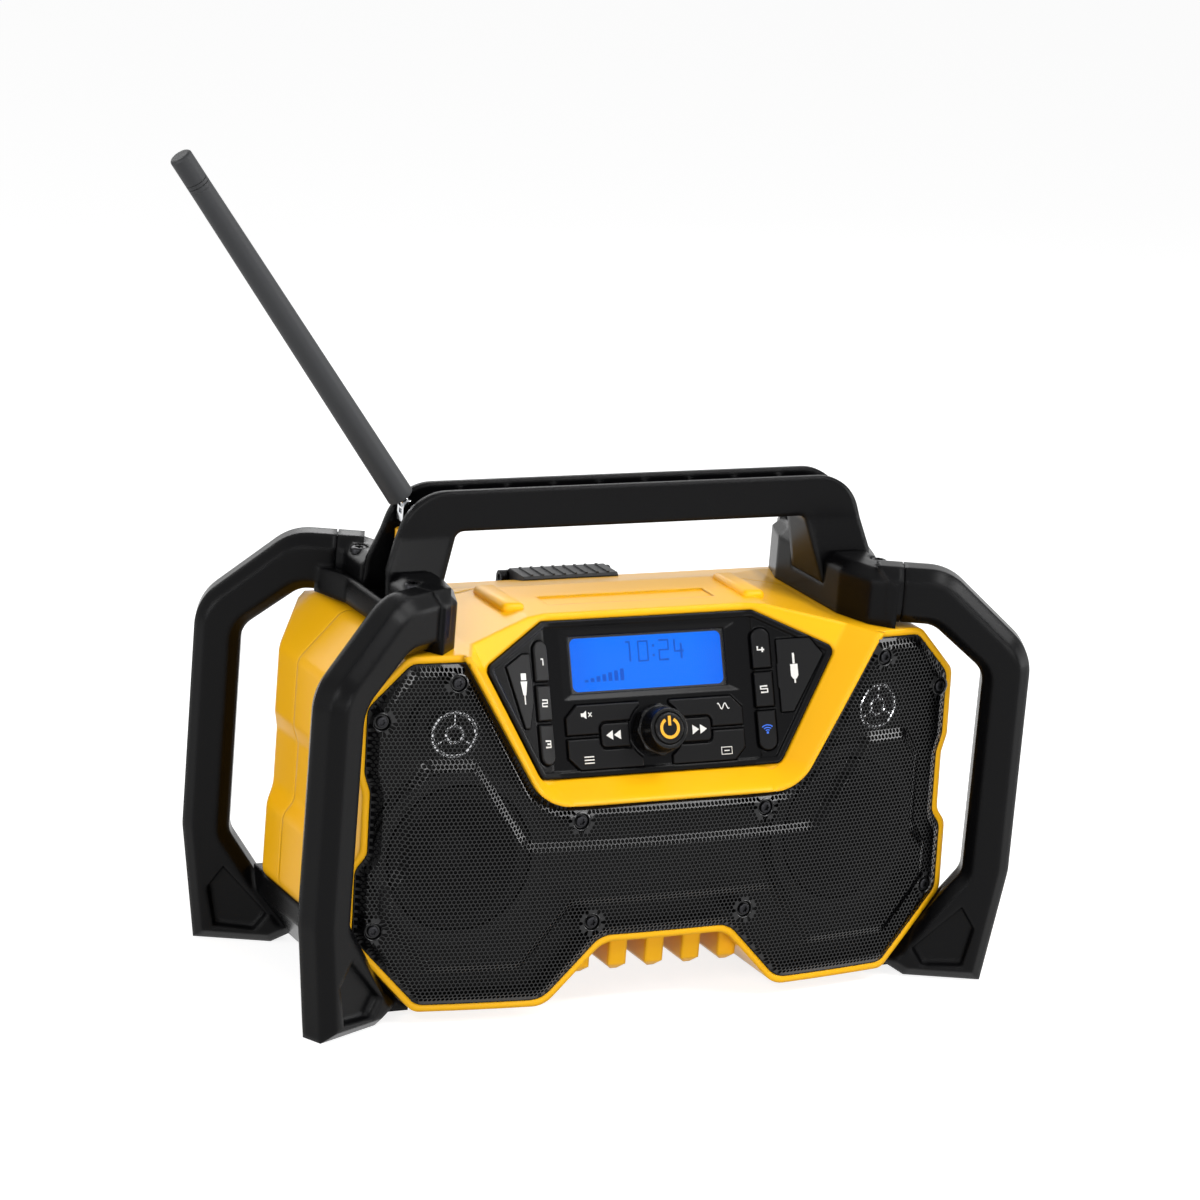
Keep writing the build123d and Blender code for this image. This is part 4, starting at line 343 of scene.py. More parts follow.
# The liquid crystal panel glows from an edge light, a little darker towards its ends.
backlit_lcd, tree = blank_material("blue_backlit_lcd")
place = put(tree, "ShaderNodeTexCoord").outputs["Object"]
across = put(tree, "ShaderNodeSeparateXYZ", Vector=place).outputs[0]
ends = put(tree, "ShaderNodeMath", {"operation": "ABSOLUTE"}, s0=across).outputs[0]
fade = put(tree, "ShaderNodeMapRange", Value=ends, s1=FADE_FROM, s2=FADE_TO, s3=0.0, s4=1.0)
bright, dim = linear("#0A76FE"), linear("#0569F6")
tone = put(tree, "ShaderNodeMix", COLOUR_MIX, s0=fade.outputs[0], s6=bright, s7=dim).outputs[2]
look = {"Base_Color": linear("#040A18"), "Emission_Color": tone, "Emission_Strength": 1.0}
skin = put(tree, "ShaderNodeBsdfPrincipled", **look, **LCD_FACE)
put(tree, "ShaderNodeOutputMaterial", Surface=skin.outputs[0])

# Digits of the display are crystal that turns dark: they only dim the blue.
lcd_digit, tree = blank_material("dark_lcd_segment")
place = put(tree, "ShaderNodeTexCoord").outputs["Object"]
cloud = put(tree, "ShaderNodeTexNoise", Vector=place, Scale=1 / (6 * MM)).outputs[0]
bright, dim = linear("#0A5AD6"), linear("#0850C8")
tone = put(tree, "ShaderNodeMix", COLOUR_MIX, s0=cloud, s6=bright, s7=dim).outputs[2]
look = {"Base_Color": linear("#0A1C40"), "Emission_Color": tone, "Emission_Strength": 0.9}
skin = put(tree, "ShaderNodeBsdfPrincipled", **look, **LCD_FACE)
put(tree, "ShaderNodeOutputMaterial", Surface=skin.outputs[0])

# Acrylic window, hard coated against reflections: clear with a faint haze.
GLARE = 0.12
window_acrylic, tree = blank_material("clear_acrylic_window")
place = put(tree, "ShaderNodeTexCoord").outputs["Object"]
haze = put(tree, "ShaderNodeTexNoise", Vector=place, Scale=1 / (9 * MM)).outputs[0]
rough = put(tree, "ShaderNodeMapRange", Value=haze, s3=0.02, s4=0.06).outputs[0]
gloss = put(tree, "ShaderNodeBsdfGlossy", Color=WHITE, Roughness=rough)
clear = put(tree, "ShaderNodeBsdfTransparent", Color=WHITE)
share = put(tree, "ShaderNodeFresnel", IOR=1.45).outputs[0]
share = put(tree, "ShaderNodeMath", {"operation": "MULTIPLY"}, s0=share, s1=GLARE).outputs[0]
both = put(tree, "ShaderNodeMixShader", s0=share, s1=clear.outputs[0], s2=gloss.outputs[0])
put(tree, "ShaderNodeOutputMaterial", Surface=both.outputs[0])
print("inks, display and window")

# %% [markdown]
# ## Finishes on the CAD nodes
# Each node takes one finish, by name.

# %% Give each node its finish
finishes = {
    yellow_abs: ["front_housing", "rear_housing"],
    black_nylon: ["left_guard", "right_guard", "left_hub", "right_hub", "handle", "battery_door"],
    panel_abs: ["control_panel"],
    knob_abs: ["tuning_knob", "power_cap"],
    cover_rubber: ["usb_cover", "aux_cover"],
    sheath_rubber: ["antenna_sheath", "antenna_tip"],
    collar_acetal: ["antenna_collar"],
    socket_zinc: ["antenna_socket"],
    latch_nylon: ["door_latch"],
    inner_black: ["speaker_baffle", "battery_terminals", "left_tweeter", "right_tweeter"],
    cone_paper: ["left_woofer_cone", "right_woofer_cone"],
    frame_enamel: ["left_woofer_frame", "right_woofer_frame"],
    board_mask: ["main_board"],
    chrome: ["antenna_post", "antenna_pin", "antenna_rod"],
    zinc_plate: ["encoder", "usb_socket", "aux_socket", "dc_inlet", "door_hinge_pin"],
    black_oxide: ["grille_screws", "hub_screws", "housing_screws"],
    backlit_lcd: ["display_module"],
    window_acrylic: ["display_lens"],
    key_rubber: [name for name in nodes if name.endswith("_button")],
}
for finish, names in finishes.items():
    for name in names:
        mesh = nodes[name].data
        mesh.materials.clear()
        mesh.materials.append(finish)
print(sum(len(names) for names in finishes.values()), "nodes finished")

# %% [markdown]
# ## Grille
# The real grille is one steel sheet, punched with a close honeycomb, then pressed into a raised
# field that joins both speakers and into screw dimples, with its edge bent back. A texture
# could fake the holes, but it would be flat at a glance along the sheet. One hexagonal cell
# with a hole is modelled and arrayed instead, cut to the outline, then every vertex is moved
# onto the pressed form.

# %% Form of the sheet, in millimetres
BOW_RADIUS = 800.0
BOW_LEAN = radians(3.0)
GRILLE_FRONT = 83.5
EMBOSS_HEIGHT = 3.0
EMBOSS_RAMP = 4.5
BORDER_DROP = 3.4
BORDER_RAMP = 5.0
RIM = 3.5
HOOD_TOP_HALF, HOOD_TOP_Z = 109.0, 175.5
HOOD_PLAY = 0.3
FAR = 1e3
SCREW_PLACES = [(114.0, 167.2), (149.5, 149.0), (149.0, 48.0), (49.4, 98.3), (41.0, 48.3)]
SCREW_PLACES += [(-x, z) for x, z in SCREW_PLACES]
DIMPLE_RIM = 4.5


def mirrored(half):
    """Closed outline from the points of its right half, listed from the middle to the middle."""
    return half + [(-x, z) for x, z in reversed(half) if x > 0]


def drawn_in(outline, amount):
    """The outline with every side moved inwards by amount; it runs anticlockwise."""
    points = [Vector(point) for point in outline]
    moved = []
    for before, point, after in zip(points[-1:] + points[:-1], points, points[1:] + points[:1]):
        came, goes = (point - before).normalized(), (after - point).normalized()
        inward = Vector((-came.y - goes.y, came.x + goes.x))
        moved.append(tuple(point + inward * (amount / (1 + came.dot(goes)))))
    return moved


def rounded(outline, radius_at):
    """The outline with an arc at each corner, of the radius given for its place."""
    points = [Vector(point) for point in outline]
    drawn = []
    for before, point, after in zip(points[-1:] + points[:-1], points, points[1:] + points[:1]):
        came, goes = (point - before).normalized(), (after - point).normalized()
        turn = came.angle_signed(goes) * -1
        radius = radius_at(point.x, point.y)
        if radius == 0 or abs(turn) < 0.01:
            drawn.append(tuple(point))
            continue
        reach = radius * abs(tan(turn / 2))
        side = Vector((-came.y, came.x)) * (1 if turn > 0 else -1)
        centre = point - came * reach + side * radius
        steps = max(2, round(abs(turn) / 0.12))
        for step in range(steps + 1):
            arm = side * -radius
            arm.rotate(Matrix.Rotation(turn * step / steps, 2))
            drawn.append(tuple(centre + arm))
    return drawn


SILHOUETTE = mirrored(
    [(0, 37), (33, 37), (62, 7), (127, 7), (161, 43), (161, 78), (155.5, 85)]
    + [(155.5, 114), (158.5, 123), (158.5, 156), (137, 179), (102, 180), (64, 187), (0, 187)]
)
SHEET = rounded(drawn_in(SILHOUETTE, RIM), lambda x, z: 14 if abs(x) < 94.5 and z < 78 else 8)
HOOD = rounded(
    mirrored(
        [(0, 106), (68, 106), (HOOD_TOP_HALF, HOOD_TOP_Z), (HOOD_TOP_HALF, 196), (0, 196)]
    ),
    lambda x, z: 22 if x != 0 and z < 150 else 0,
)
RAISED = rounded(
    mirrored(
        [(0, 57), (52, 57), (77, 27), (124, 27), (147, 53), (147, 70), (138.5, 81), (138.5, 117)]
        + [(129, 131), (104, 131), (76, 90), (0, 90)]
    ),
    lambda x, z: 7,
)


def inside(points, outline):
    """Signed distance of each point to a closed outline, positive inside it."""
    start = np.array(outline, float)
    step = np.roll(start, -1, axis=0) - start
    offset = points[:, None, :] - start[None]
    share = np.clip((offset * step).sum(2) / (step**2).sum(1), 0, 1)
    gap = np.linalg.norm(offset - share[..., None] * step, axis=2).min(1)
    low, high = start, np.roll(start, -1, axis=0)
    rises = (low[:, 1] > points[:, None, 1]) != (high[:, 1] > points[:, None, 1])
    with np.errstate(divide="ignore", invalid="ignore"):
        cross = low[:, 0] + (points[:, None, 1] - low[:, 1]) * step[:, 0] / step[:, 1]
    odd = (rises & (points[:, None, 0] < cross)).sum(1) % 2 == 1
    return np.where(odd, gap, -gap)


def edge_distance(points):
    """Distance to the sheet's own edge, positive on the sheet."""
    body = inside(points, SHEET)
    hood = -inside(points, HOOD) - HOOD_PLAY
    top = np.where(np.abs(points[:, 0]) < HOOD_TOP_HALF, HOOD_TOP_Z - points[:, 1], FAR)
    return np.minimum(np.minimum(body, hood), top)


def sheet_distance(points):
    """As edge_distance, with the screw dimples cut out too."""
    found = edge_distance(points)
    for place in SCREW_PLACES:
        found = np.minimum(found, np.linalg.norm(points - np.array(place), axis=1) - DIMPLE_RIM)
    return found


def bow_y(x, z):
    """Depth of the bowed front at a place, or at each of many."""
    return z * tan(BOW_LEAN) - GRILLE_FRONT + BOW_RADIUS - np.sqrt(BOW_RADIUS**2 - x**2)


def sheet_y(points):
    """Depth of the pressed sheet's face."""
    rise = np.clip(inside(points, RAISED) / EMBOSS_RAMP, 0, 1)
    fall = 1 - np.clip(edge_distance(points) / BORDER_RAMP, 0, 1)
    return bow_y(points[:, 0], points[:, 1]) - EMBOSS_HEIGHT * rise + BORDER_DROP * fall


# %% One cell of the honeycomb, and its array
PITCH = 2.1
WEB = 0.44
ROW = PITCH * sqrt(3) / 2
COLUMNS, ROWS = 156, 51
FIRST_ROW_Z = 8.0
CELL_FACES, CELL_SIDES = 7, 6
# A cell whose centre lies this far inside the edge is kept, and this far has its hole. Points
# of the ragged rim that lie nearer than the last are drawn onto the edge.
KEPT_DEPTH, HOLE_DEPTH, EDGE_DEPTH = 0.3 * PITCH, 0.64 * PITCH, 0.72 * PITCH

bpy.ops.object.select_all(action="DESELECT")
bpy.ops.mesh.primitive_circle_add(vertices=CELL_SIDES, radius=PITCH / sqrt(3), fill_type="NGON")
cell = bpy.context.object
cell.name = "grille_mesh"
bpy.ops.object.mode_set(mode="EDIT")
bpy.ops.mesh.inset(thickness=WEB / 2)
bpy.ops.object.mode_set(mode="OBJECT")
for name, count, step in (
    ("pair", 2, (PITCH / 2, ROW, 0)),
    ("columns", COLUMNS, (PITCH, 0, 0)),
    ("rows", ROWS, (0, 2 * ROW, 0)),
):
    array = cell.modifiers.new(name, "ARRAY")
    array.use_relative_offset, array.use_constant_offset = False, True
    array.count, array.constant_offset_displace = count, step
    bpy.ops.object.modifier_apply(modifier=name)
print(len(cell.data.polygons) // CELL_FACES, "cells")

# %% Choose the cells on the sheet and open their holes
sheet = cell.data
co = np.zeros(len(sheet.vertices) * 3)
sheet.vertices.foreach_get("co", co)
co = co.reshape(-1, 3)
co[:, 0] -= PITCH * (COLUMNS - 1) / 2
co[:, 1] += FIRST_ROW_Z
sheet.vertices.foreach_set("co", co.ravel())
sheet.update()
centre = np.zeros(len(sheet.polygons) * 3)
sheet.polygons.foreach_get("center", centre)
middle = centre.reshape(-1, CELL_FACES, 3).mean(1)[:, :2]
distance = sheet_distance(middle)
on_sheet = np.repeat(distance > KEPT_DEPTH, CELL_FACES)
open_cell = np.repeat(distance > HOLE_DEPTH, CELL_FACES)
corners = np.zeros(len(sheet.polygons), int)
sheet.polygons.foreach_get("loop_total", corners)
doomed = ~on_sheet | (open_cell & (corners == CELL_SIDES))
sheet.polygons.foreach_set("select", doomed)
sheet.vertices.foreach_set("select", np.zeros(len(sheet.vertices), bool))
sheet.edges.foreach_set("select", np.zeros(len(sheet.edges), bool))
sheet.update()
bpy.ops.object.mode_set(mode="EDIT")
bpy.ops.mesh.select_mode(type="FACE")
bpy.ops.mesh.delete(type="FACE")
bpy.ops.mesh.select_mode(type="VERT")
bpy.ops.mesh.select_all(action="SELECT")
bpy.ops.mesh.remove_doubles(threshold=PITCH / 50)
bpy.ops.object.mode_set(mode="OBJECT")
print(len(sheet.polygons), "faces,", int((distance > HOLE_DEPTH).sum()), "holes")


# %% Draw the ragged edge onto the outline, then press the form
def slope_of(distance_of, points):
    """Gradient of a distance, worked out from small steps."""
    step = 0.05
    right = distance_of(points + (step, 0)) - distance_of(points - (step, 0))
    up = distance_of(points + (0, step)) - distance_of(points - (0, step))
    return np.stack([right, up], 1) / (2 * step)


faces_at_edge = {}
for face in sheet.polygons:
    for key in face.edge_keys:
        faces_at_edge[key] = faces_at_edge.get(key, 0) + 1
rim_points = {v for key, count in faces_at_edge.items() if count == 1 for v in key}
co = np.zeros(len(sheet.vertices) * 3)
sheet.vertices.foreach_get("co", co)
co = co.reshape(-1, 3)
rim_index = np.array(sorted(rim_points))
gap = sheet_distance(co[rim_index, :2])
rim_index = rim_index[gap < EDGE_DEPTH]
for _ in range(2):
    here = co[rim_index, :2]
    gap = sheet_distance(here)
    co[rim_index, :2] = here - slope_of(sheet_distance, here) * gap[:, None]
flat = co[:, :2].copy()
pressed = np.stack([flat[:, 0], sheet_y(flat), flat[:, 1]], 1) * MM
sheet.vertices.foreach_set("co", pressed.ravel())
sheet.update()
print("sheet from", pressed.min(0).round(4), "to", pressed.max(0).round(4))

# %% Bend the edge back and give the sheet its gauge
FLANGE = 0.8
GAUGE = 0.6
outer = np.abs(edge_distance(flat)) < 0.05
rim_edges = {key for key, count in faces_at_edge.items() if count == 1}
for edge in sheet.edges:
    a, b = edge.vertices
    edge.select = bool(outer[a] and outer[b] and tuple(sorted((a, b))) in rim_edges)
for vertex in sheet.vertices:
    vertex.select = False
for face in sheet.polygons:
    face.select = False
bpy.ops.object.mode_set(mode="EDIT")
bpy.ops.mesh.select_mode(type="EDGE")
bpy.ops.mesh.extrude_region_move(TRANSFORM_OT_translate={"value": (0, FLANGE * MM, 0)})
bpy.ops.mesh.select_all(action="SELECT")
bpy.ops.mesh.normals_make_consistent(inside=False)
bpy.ops.object.mode_set(mode="OBJECT")
up_front = sum(1 for face in sheet.polygons if face.normal.y < -0.5)
if up_front < len(sheet.polygons) / 2:
    sheet.flip_normals()
gauge = cell.modifiers.new("gauge", "SOLIDIFY")
gauge.thickness, gauge.offset, gauge.use_even_offset = GAUGE * MM, -1, False
bpy.ops.object.modifier_apply(modifier="gauge")
print(len(sheet.polygons), "faces with its gauge")

# %% Part the sheet at the middle, so that each piece stays light
centre = np.zeros(len(sheet.polygons) * 3)
sheet.polygons.foreach_get("center", centre)
sheet.polygons.foreach_set("select", centre.reshape(-1, 3)[:, 0] < 0)
sheet.vertices.foreach_set("select", np.zeros(len(sheet.vertices), bool))
sheet.edges.foreach_set("select", np.zeros(len(sheet.edges), bool))
sheet.update()
bpy.ops.object.mode_set(mode="EDIT")
bpy.ops.mesh.select_mode(type="FACE")
bpy.ops.mesh.separate(type="SELECTED")
bpy.ops.object.mode_set(mode="OBJECT")
halves = [o for o in bpy.context.selected_objects if o.type == "MESH"]
for half in halves:
    left = sum(v.co.x for v in half.data.vertices) < 0
    half.name = half.data.name = "left_grille_mesh" if left else "right_grille_mesh"
    print(half.name, sum(len(p.vertices) - 2 for p in half.data.polygons), "triangles")

# %% [markdown]
# ## Dimples and screws
# Each screw sits in a pressed cup with a rolled rim. The cup is a circle that is extruded and
# scaled step by step down its wall, then copied to all ten places and turned to the bow.


# %% Placing on the bowed sheet
def bow_frame(x, z):
    """Matrix that stands a piece modelled in millimetres on the sheet, its Z outwards."""
    level = sqrt(1 - (x / BOW_RADIUS) ** 2)
    normal = Vector((x / BOW_RADIUS, -level * cos(BOW_LEAN), level * sin(BOW_LEAN)))
    right = normal.cross(Vector((0, 0, 1))) * -1
    return face_matrix(Vector((x, bow_y(x, z), z)), right.normalized(), normal)


def copies(source, name, places):
    """Copies of a mesh at each matrix, joined as one piece; the source is removed."""
    bpy.ops.object.select_all(action="DESELECT")
    for place in places:
        twin = bpy.data.objects.new(name, source.data.copy())
        bpy.context.scene.collection.objects.link(twin)
        twin.data.transform(place)
        twin.select_set(True)
        bpy.context.view_layer.objects.active = twin
    bpy.ops.object.join()
    bpy.data.objects.remove(source)
    piece = bpy.context.object
    piece.name = piece.data.name = name
    return piece


# %% A dimple
CUP_STEPS = [(4.3, 0.05), (4.0, -0.1), (3.7, -0.9), (3.4, -1.4), (1.6, -1.4), (1.5, -2.3)]
bpy.ops.object.select_all(action="DESELECT")
bpy.ops.mesh.primitive_circle_add(vertices=32, radius=DIMPLE_RIM + 0.3)
cup = bpy.context.object
bpy.ops.object.mode_set(mode="EDIT")
bpy.ops.mesh.select_mode(type="EDGE")
bpy.ops.mesh.select_all(action="SELECT")
radius, height = DIMPLE_RIM + 0.3, -0.3
bpy.ops.transform.translate(value=(0, 0, height))
for next_radius, next_height in CUP_STEPS:
    bpy.ops.mesh.extrude_region_move(TRANSFORM_OT_translate={"value": (0, 0, next_height - height)})
    share = next_radius / radius
    bpy.ops.transform.resize(value=(share, share, 1), center_override=(0, 0, next_height))
    radius, height = next_radius, next_height
bpy.ops.mesh.select_all(action="SELECT")
bpy.ops.mesh.normals_make_consistent(inside=False)
bpy.ops.object.mode_set(mode="OBJECT")
bpy.ops.object.shade_smooth_by_angle(angle=radians(50))
if sum(face.normal.z for face in cup.data.polygons) < 0:
    cup.data.flip_normals()
grille_places = [bow_frame(x, z) for x, z in SCREW_PLACES]
dimples = copies(cup, "grille_dimples", grille_places)
print(len(dimples.data.polygons), "faces in the dimples")


# %% A star-socket screw head
# Shares of a head's height or of its socket's radius.
HEAD_ROUND, SOCKET_DEPTH, SOCKET_REACH, LOBE = 0.45, 0.7, 1.3, 0.22


def screw_head(radius, height, socket):
    """Pan head with a six-lobed socket; its seat is at Z 0."""
    bpy.ops.object.select_all(action="DESELECT")
    middle = (0, 0, height / 2)
    bpy.ops.mesh.primitive_cylinder_add(vertices=24, radius=radius, depth=height, location=middle)
    head = bpy.context.object
    bpy.ops.object.transform_apply(location=True)
    bpy.ops.object.mode_set(mode="EDIT")
    bpy.ops.mesh.select_mode(type="FACE")
    bpy.ops.mesh.select_all(action="DESELECT")
    bpy.ops.object.mode_set(mode="OBJECT")
    for face in head.data.polygons:
        face.select = face.normal.z > 0.9
    bpy.ops.object.mode_set(mode="EDIT")
    bpy.ops.mesh.bevel(offset=height * HEAD_ROUND, segments=3, affect="EDGES")
    bpy.ops.object.mode_set(mode="OBJECT")
    for face in head.data.polygons:
        face.select = face.normal.z > 0.99 and face.center.z > height * 0.9
    bpy.ops.object.mode_set(mode="EDIT")
    bpy.ops.mesh.inset(thickness=max(radius - height * HEAD_ROUND - socket, 0.1))
    sink = (0, 0, -height * SOCKET_DEPTH)
    bpy.ops.mesh.extrude_region_move(TRANSFORM_OT_translate={"value": sink})
    bpy.ops.object.mode_set(mode="OBJECT")
    for vertex in head.data.vertices:
        reach = Vector(vertex.co[:2]).length
        if reach < socket * SOCKET_REACH:
            turn = np.arctan2(vertex.co.y, vertex.co.x)
            share = 1 + LOBE * cos(6 * turn)
            vertex.co.x *= share
            vertex.co.y *= share
    bpy.ops.object.shade_smooth_by_angle(angle=radians(35))
    return head


small_head = screw_head(2.8, 1.6, 1.4)
sunk = Matrix.Translation((0, 0, -1.4))
grille_heads = copies(small_head, "grille_screw_heads", [place @ sunk for place in grille_places])
print(len(grille_heads.data.polygons), "faces in the grille's screw heads")

# %% Screw heads on the hubs
HUB_SCREW_X, HUB_SCREW_Y, HUB_TOP_Z, HUB_SCREW_RECESS = 125.0, 32.0, 207.0, 3.0
hub_places = []
for x in (-HUB_SCREW_X, HUB_SCREW_X):
    for y in (-HUB_SCREW_Y, HUB_SCREW_Y):
        seat = Vector((x, y, HUB_TOP_Z - HUB_SCREW_RECESS)) * MM
        hub_places.append(Matrix.Translation(seat) @ Matrix.Scale(MM, 4))
hub_heads = copies(screw_head(4.2, 2.7, 2.2), "hub_screw_heads", hub_places)

# %% Screw heads at the back of the housing
CASE_SCREWS = [(132.0, 148.0), (132.0, 44.0), (80.0, 26.0)]
REAR_Y, CASE_BORE_DEPTH = 62.0, 7.0
case_places = []
for x, z in CASE_SCREWS + [(-x, z) for x, z in CASE_SCREWS]:
    seat = Vector((x, REAR_Y - CASE_BORE_DEPTH, z))
    case_places.append(face_matrix(seat, Vector((-1, 0, 0)), Vector((0, 1, 0))))
case_heads = copies(screw_head(3.4, 2.4, 1.7), "case_screw_heads", case_places)

# %% [markdown]
# Enamel on the steel sheet is thin and glossy, so each web of the honeycomb catches the light.

# %% Finish of the grille
grille_enamel, tree = blank_material("black_enamelled_steel")
place = put(tree, "ShaderNodeTexCoord").outputs["Object"]
cloud = put(tree, "ShaderNodeTexNoise", Vector=place, Scale=1 / (12 * MM), Detail=3.0).outputs[0]
grain = put(tree, "ShaderNodeTexNoise", Vector=place, Scale=1 / (0.5 * MM), Detail=2.0).outputs[0]
deep, pale = linear("#050506"), linear("#08080A")
tone = put(tree, "ShaderNodeMix", COLOUR_MIX, s0=cloud, s6=deep, s7=pale).outputs[2]
rough = put(tree, "ShaderNodeMapRange", Value=grain, s3=0.16, s4=0.25).outputs[0]
bump = put(tree, "ShaderNodeBump", Height=grain, Distance=0.02 * MM, Strength=0.7)
look = {"Base_Color": tone, "Roughness": rough, "IOR": 1.5, "Specular_IOR_Level": 0.38}
skin = put(tree, "ShaderNodeBsdfPrincipled", Normal=bump.outputs[0], **look)
put(tree, "ShaderNodeOutputMaterial", Surface=skin.outputs[0])

for piece in halves + [dimples]:
    piece.data.materials.clear()
    piece.data.materials.append(grille_enamel)
    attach(piece, "chassis")
    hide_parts("speaker_grille")
screw_sets = (
    (grille_heads, "grille_screws"),
    (hub_heads, "hub_screws"),
    (case_heads, "housing_screws"),
)
for piece, node in screw_sets:
    piece.data.materials.clear()
    piece.data.materials.append(black_oxide)
    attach(piece, "chassis")
    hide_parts(node)
print("grille and screws ride on the chassis")

# %% [markdown]
# ## Soft corners of the recess
# Flat walls meet in the two low corners of the recess. A moulded cove runs there: a ruled
# surface from the rounded outline at the front to a tighter corner at the panel, and a skirt
# that closes its front edge.


# %% Finishing small pieces
def dressed(piece, name, finish):
    """Name a piece of the chassis, and give it its one finish."""
    piece.name = piece.data.name = name
    piece.data.materials.clear()
    piece.data.materials.append(finish)
    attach(piece, "chassis")


def with_modifiers(piece, *modifiers):
    """Apply modifiers, each given as its kind and its settings."""
    bpy.context.view_layer.objects.active = piece
    for kind, settings in modifiers:
        made = piece.modifiers.new(kind.lower(), kind)
        for name, value in settings.items():
            setattr(made, name, value)
        bpy.ops.object.modifier_apply(modifier=made.name)


# %% Coves
CREASE_FRONT = Vector((66.5, -75.1, 106.7))
CREASE_BACK = Vector((62.8, -61.4, 111.7))
COVE_SHARE = 0.5
SKIRT = Vector((-0.3, 8.0, 0.3))
RECESS_TRACE = [(0, 105.0), (66.5, 106.7), (103.2, 170.0)]
recess = rounded(RECESS_TRACE, lambda x, z: 24 if x == 66.5 else 0)[1:-1]
outline = np.array([point for point in HOOD if point[0] > 0 and 105 < point[1] < 150])
steps, known = np.linspace(0, 1, len(recess)), np.linspace(0, 1, len(outline))
outline = [[np.interp(t, known, axis) for axis in outline.T] for t in steps]
bpy.ops.object.select_all(action="DESELECT")
bpy.ops.mesh.primitive_grid_add(x_subdivisions=len(recess) - 1, y_subdivisions=3)
coves = bpy.context.object
for index, vertex in enumerate(coves.data.vertices):
    row, column = divmod(index, len(recess))
    (x, z), (edge_x, edge_z) = recess[column], outline[column]
    front = Vector((x, bow_y(x, z), z))
    back = CREASE_BACK + (front - CREASE_FRONT) * COVE_SHARE
    edge = Vector((edge_x, bow_y(edge_x, edge_z), edge_z))
    vertex.co = (back, front, edge, edge + SKIRT)[row] * MM
coves.data.update()
if coves.data.polygons[0].normal.z < 0:
    coves.data.flip_normals()
bpy.ops.object.shade_smooth_by_angle(angle=radians(40))
with_modifiers(coves, ("MIRROR", {}))
dressed(coves, "recess_coves", yellow_abs)
print(len(coves.data.polygons), "faces in the coves")

# %% Rounded ridges on the crown
RIDGE_PLACE, RIDGE_SIZE, RIDGE_ROUND = (65.0, -1.0, 186.8), (12.0, 36.0, 5.6), 2.6
bpy.ops.object.select_all(action="DESELECT")
bpy.ops.mesh.primitive_cube_add(size=1)
ridges = bpy.context.object
ridges.data.transform(Matrix.Translation(RIDGE_PLACE) @ Matrix.Diagonal((*RIDGE_SIZE, 1)))
ridges.data.transform(Matrix.Scale(MM, 4))
with_modifiers(ridges, ("BEVEL", {"width": RIDGE_ROUND * MM, "segments": 5}), ("MIRROR", {}))
bpy.ops.object.shade_smooth_by_angle(angle=radians(40))
dressed(ridges, "crown_ridges", yellow_abs)
print(len(ridges.data.polygons), "faces in the ridges")

# %% [markdown]
# ## Tweeter rings
# A bright ring, a smaller one and three spokes guard each tweeter. They stand close behind the
# sheet, so they show through its holes as rings of dots.

# %% Rings and spokes
RING_RADIUS, HUB_RADIUS, RING_DEPTH = 10.5, 4.0, 4.0
TUBE = {"minor_radius": 1.1, "minor_segments": 8}
SPOKE_WIDTH = 0.6
TWEETER_PLACE = (114.0, 142.0)
bpy.ops.object.select_all(action="DESELECT")
bpy.ops.mesh.primitive_torus_add(major_radius=HUB_RADIUS, major_segments=32, **TUBE)
inner_ring = bpy.context.object
spokes = []
reach, length = (RING_RADIUS + HUB_RADIUS) / 2, RING_RADIUS - HUB_RADIUS
for turn in (0, 1, 2):
    angle = turn * 2 * pi / 3 + pi / 2
    bpy.ops.mesh.primitive_cube_add(
        size=1,
        location=(reach * cos(angle), reach * sin(angle), 0),
        rotation=(0, 0, angle),
        scale=(length, SPOKE_WIDTH, SPOKE_WIDTH),
    )
    spokes.append(bpy.context.object)
bpy.ops.mesh.primitive_torus_add(major_radius=RING_RADIUS, major_segments=48, **TUBE)
for part in [inner_ring, *spokes]:
    part.select_set(True)
bpy.ops.object.join()
ring = bpy.context.object
bpy.ops.object.transform_apply(location=True, rotation=True, scale=True)
bpy.ops.object.shade_smooth_by_angle(angle=radians(40))
behind = Matrix.Translation((0, 0, -RING_DEPTH))
ring_places = [bow_frame(side * TWEETER_PLACE[0], TWEETER_PLACE[1]) @ behind for side in (-1, 1)]
rings = copies(ring, "tweeter_rings", ring_places)
dressed(rings, "tweeter_rings", chrome)
print(len(rings.data.polygons), "faces in the tweeter rings")

# %% [markdown]
# ## Seams
# A thin gasket fills each seam between a hub and a guard, a little smaller than the tube.

# %% Gaskets
SEAM_PLACE, SEAM_YAW, GASKET = (128.3, 51.1, 195.2), radians(25), (20.4, 25.6, 0.5)
bpy.ops.object.select_all(action="DESELECT")
bpy.ops.mesh.primitive_cylinder_add(vertices=8, radius=0.5 / cos(pi / 8), depth=1)
gasket = bpy.context.object
gasket.data.transform(Matrix.Diagonal((*GASKET, 1)) @ Matrix.Rotation(pi / 8, 4, "Z"))
seams = []
for x in (-1, 1):
    for y in (-1, 1):
        along = Vector((x * cos(SEAM_YAW), y * sin(SEAM_YAW), 0))
        across = Vector((-along.y, along.x, 0))
        place = Vector((x * SEAM_PLACE[0], y * SEAM_PLACE[1], SEAM_PLACE[2]))
        seams.append(face_matrix(place, across, along))
gaskets = copies(gasket, "seam_gaskets", seams)
dressed(gaskets, "seam_gaskets", cover_rubber)
print(len(seams), "gaskets")

# %% [markdown]
# ## Printing
# Legends are pad printed: a film of ink that follows the key. Each is drawn as strokes and
# filled shapes in millimetres, made a mesh, flattened to a film and stood on its key's face, so
# that it moves with the key.

# %% Strokes and shapes
FILM = 0.06


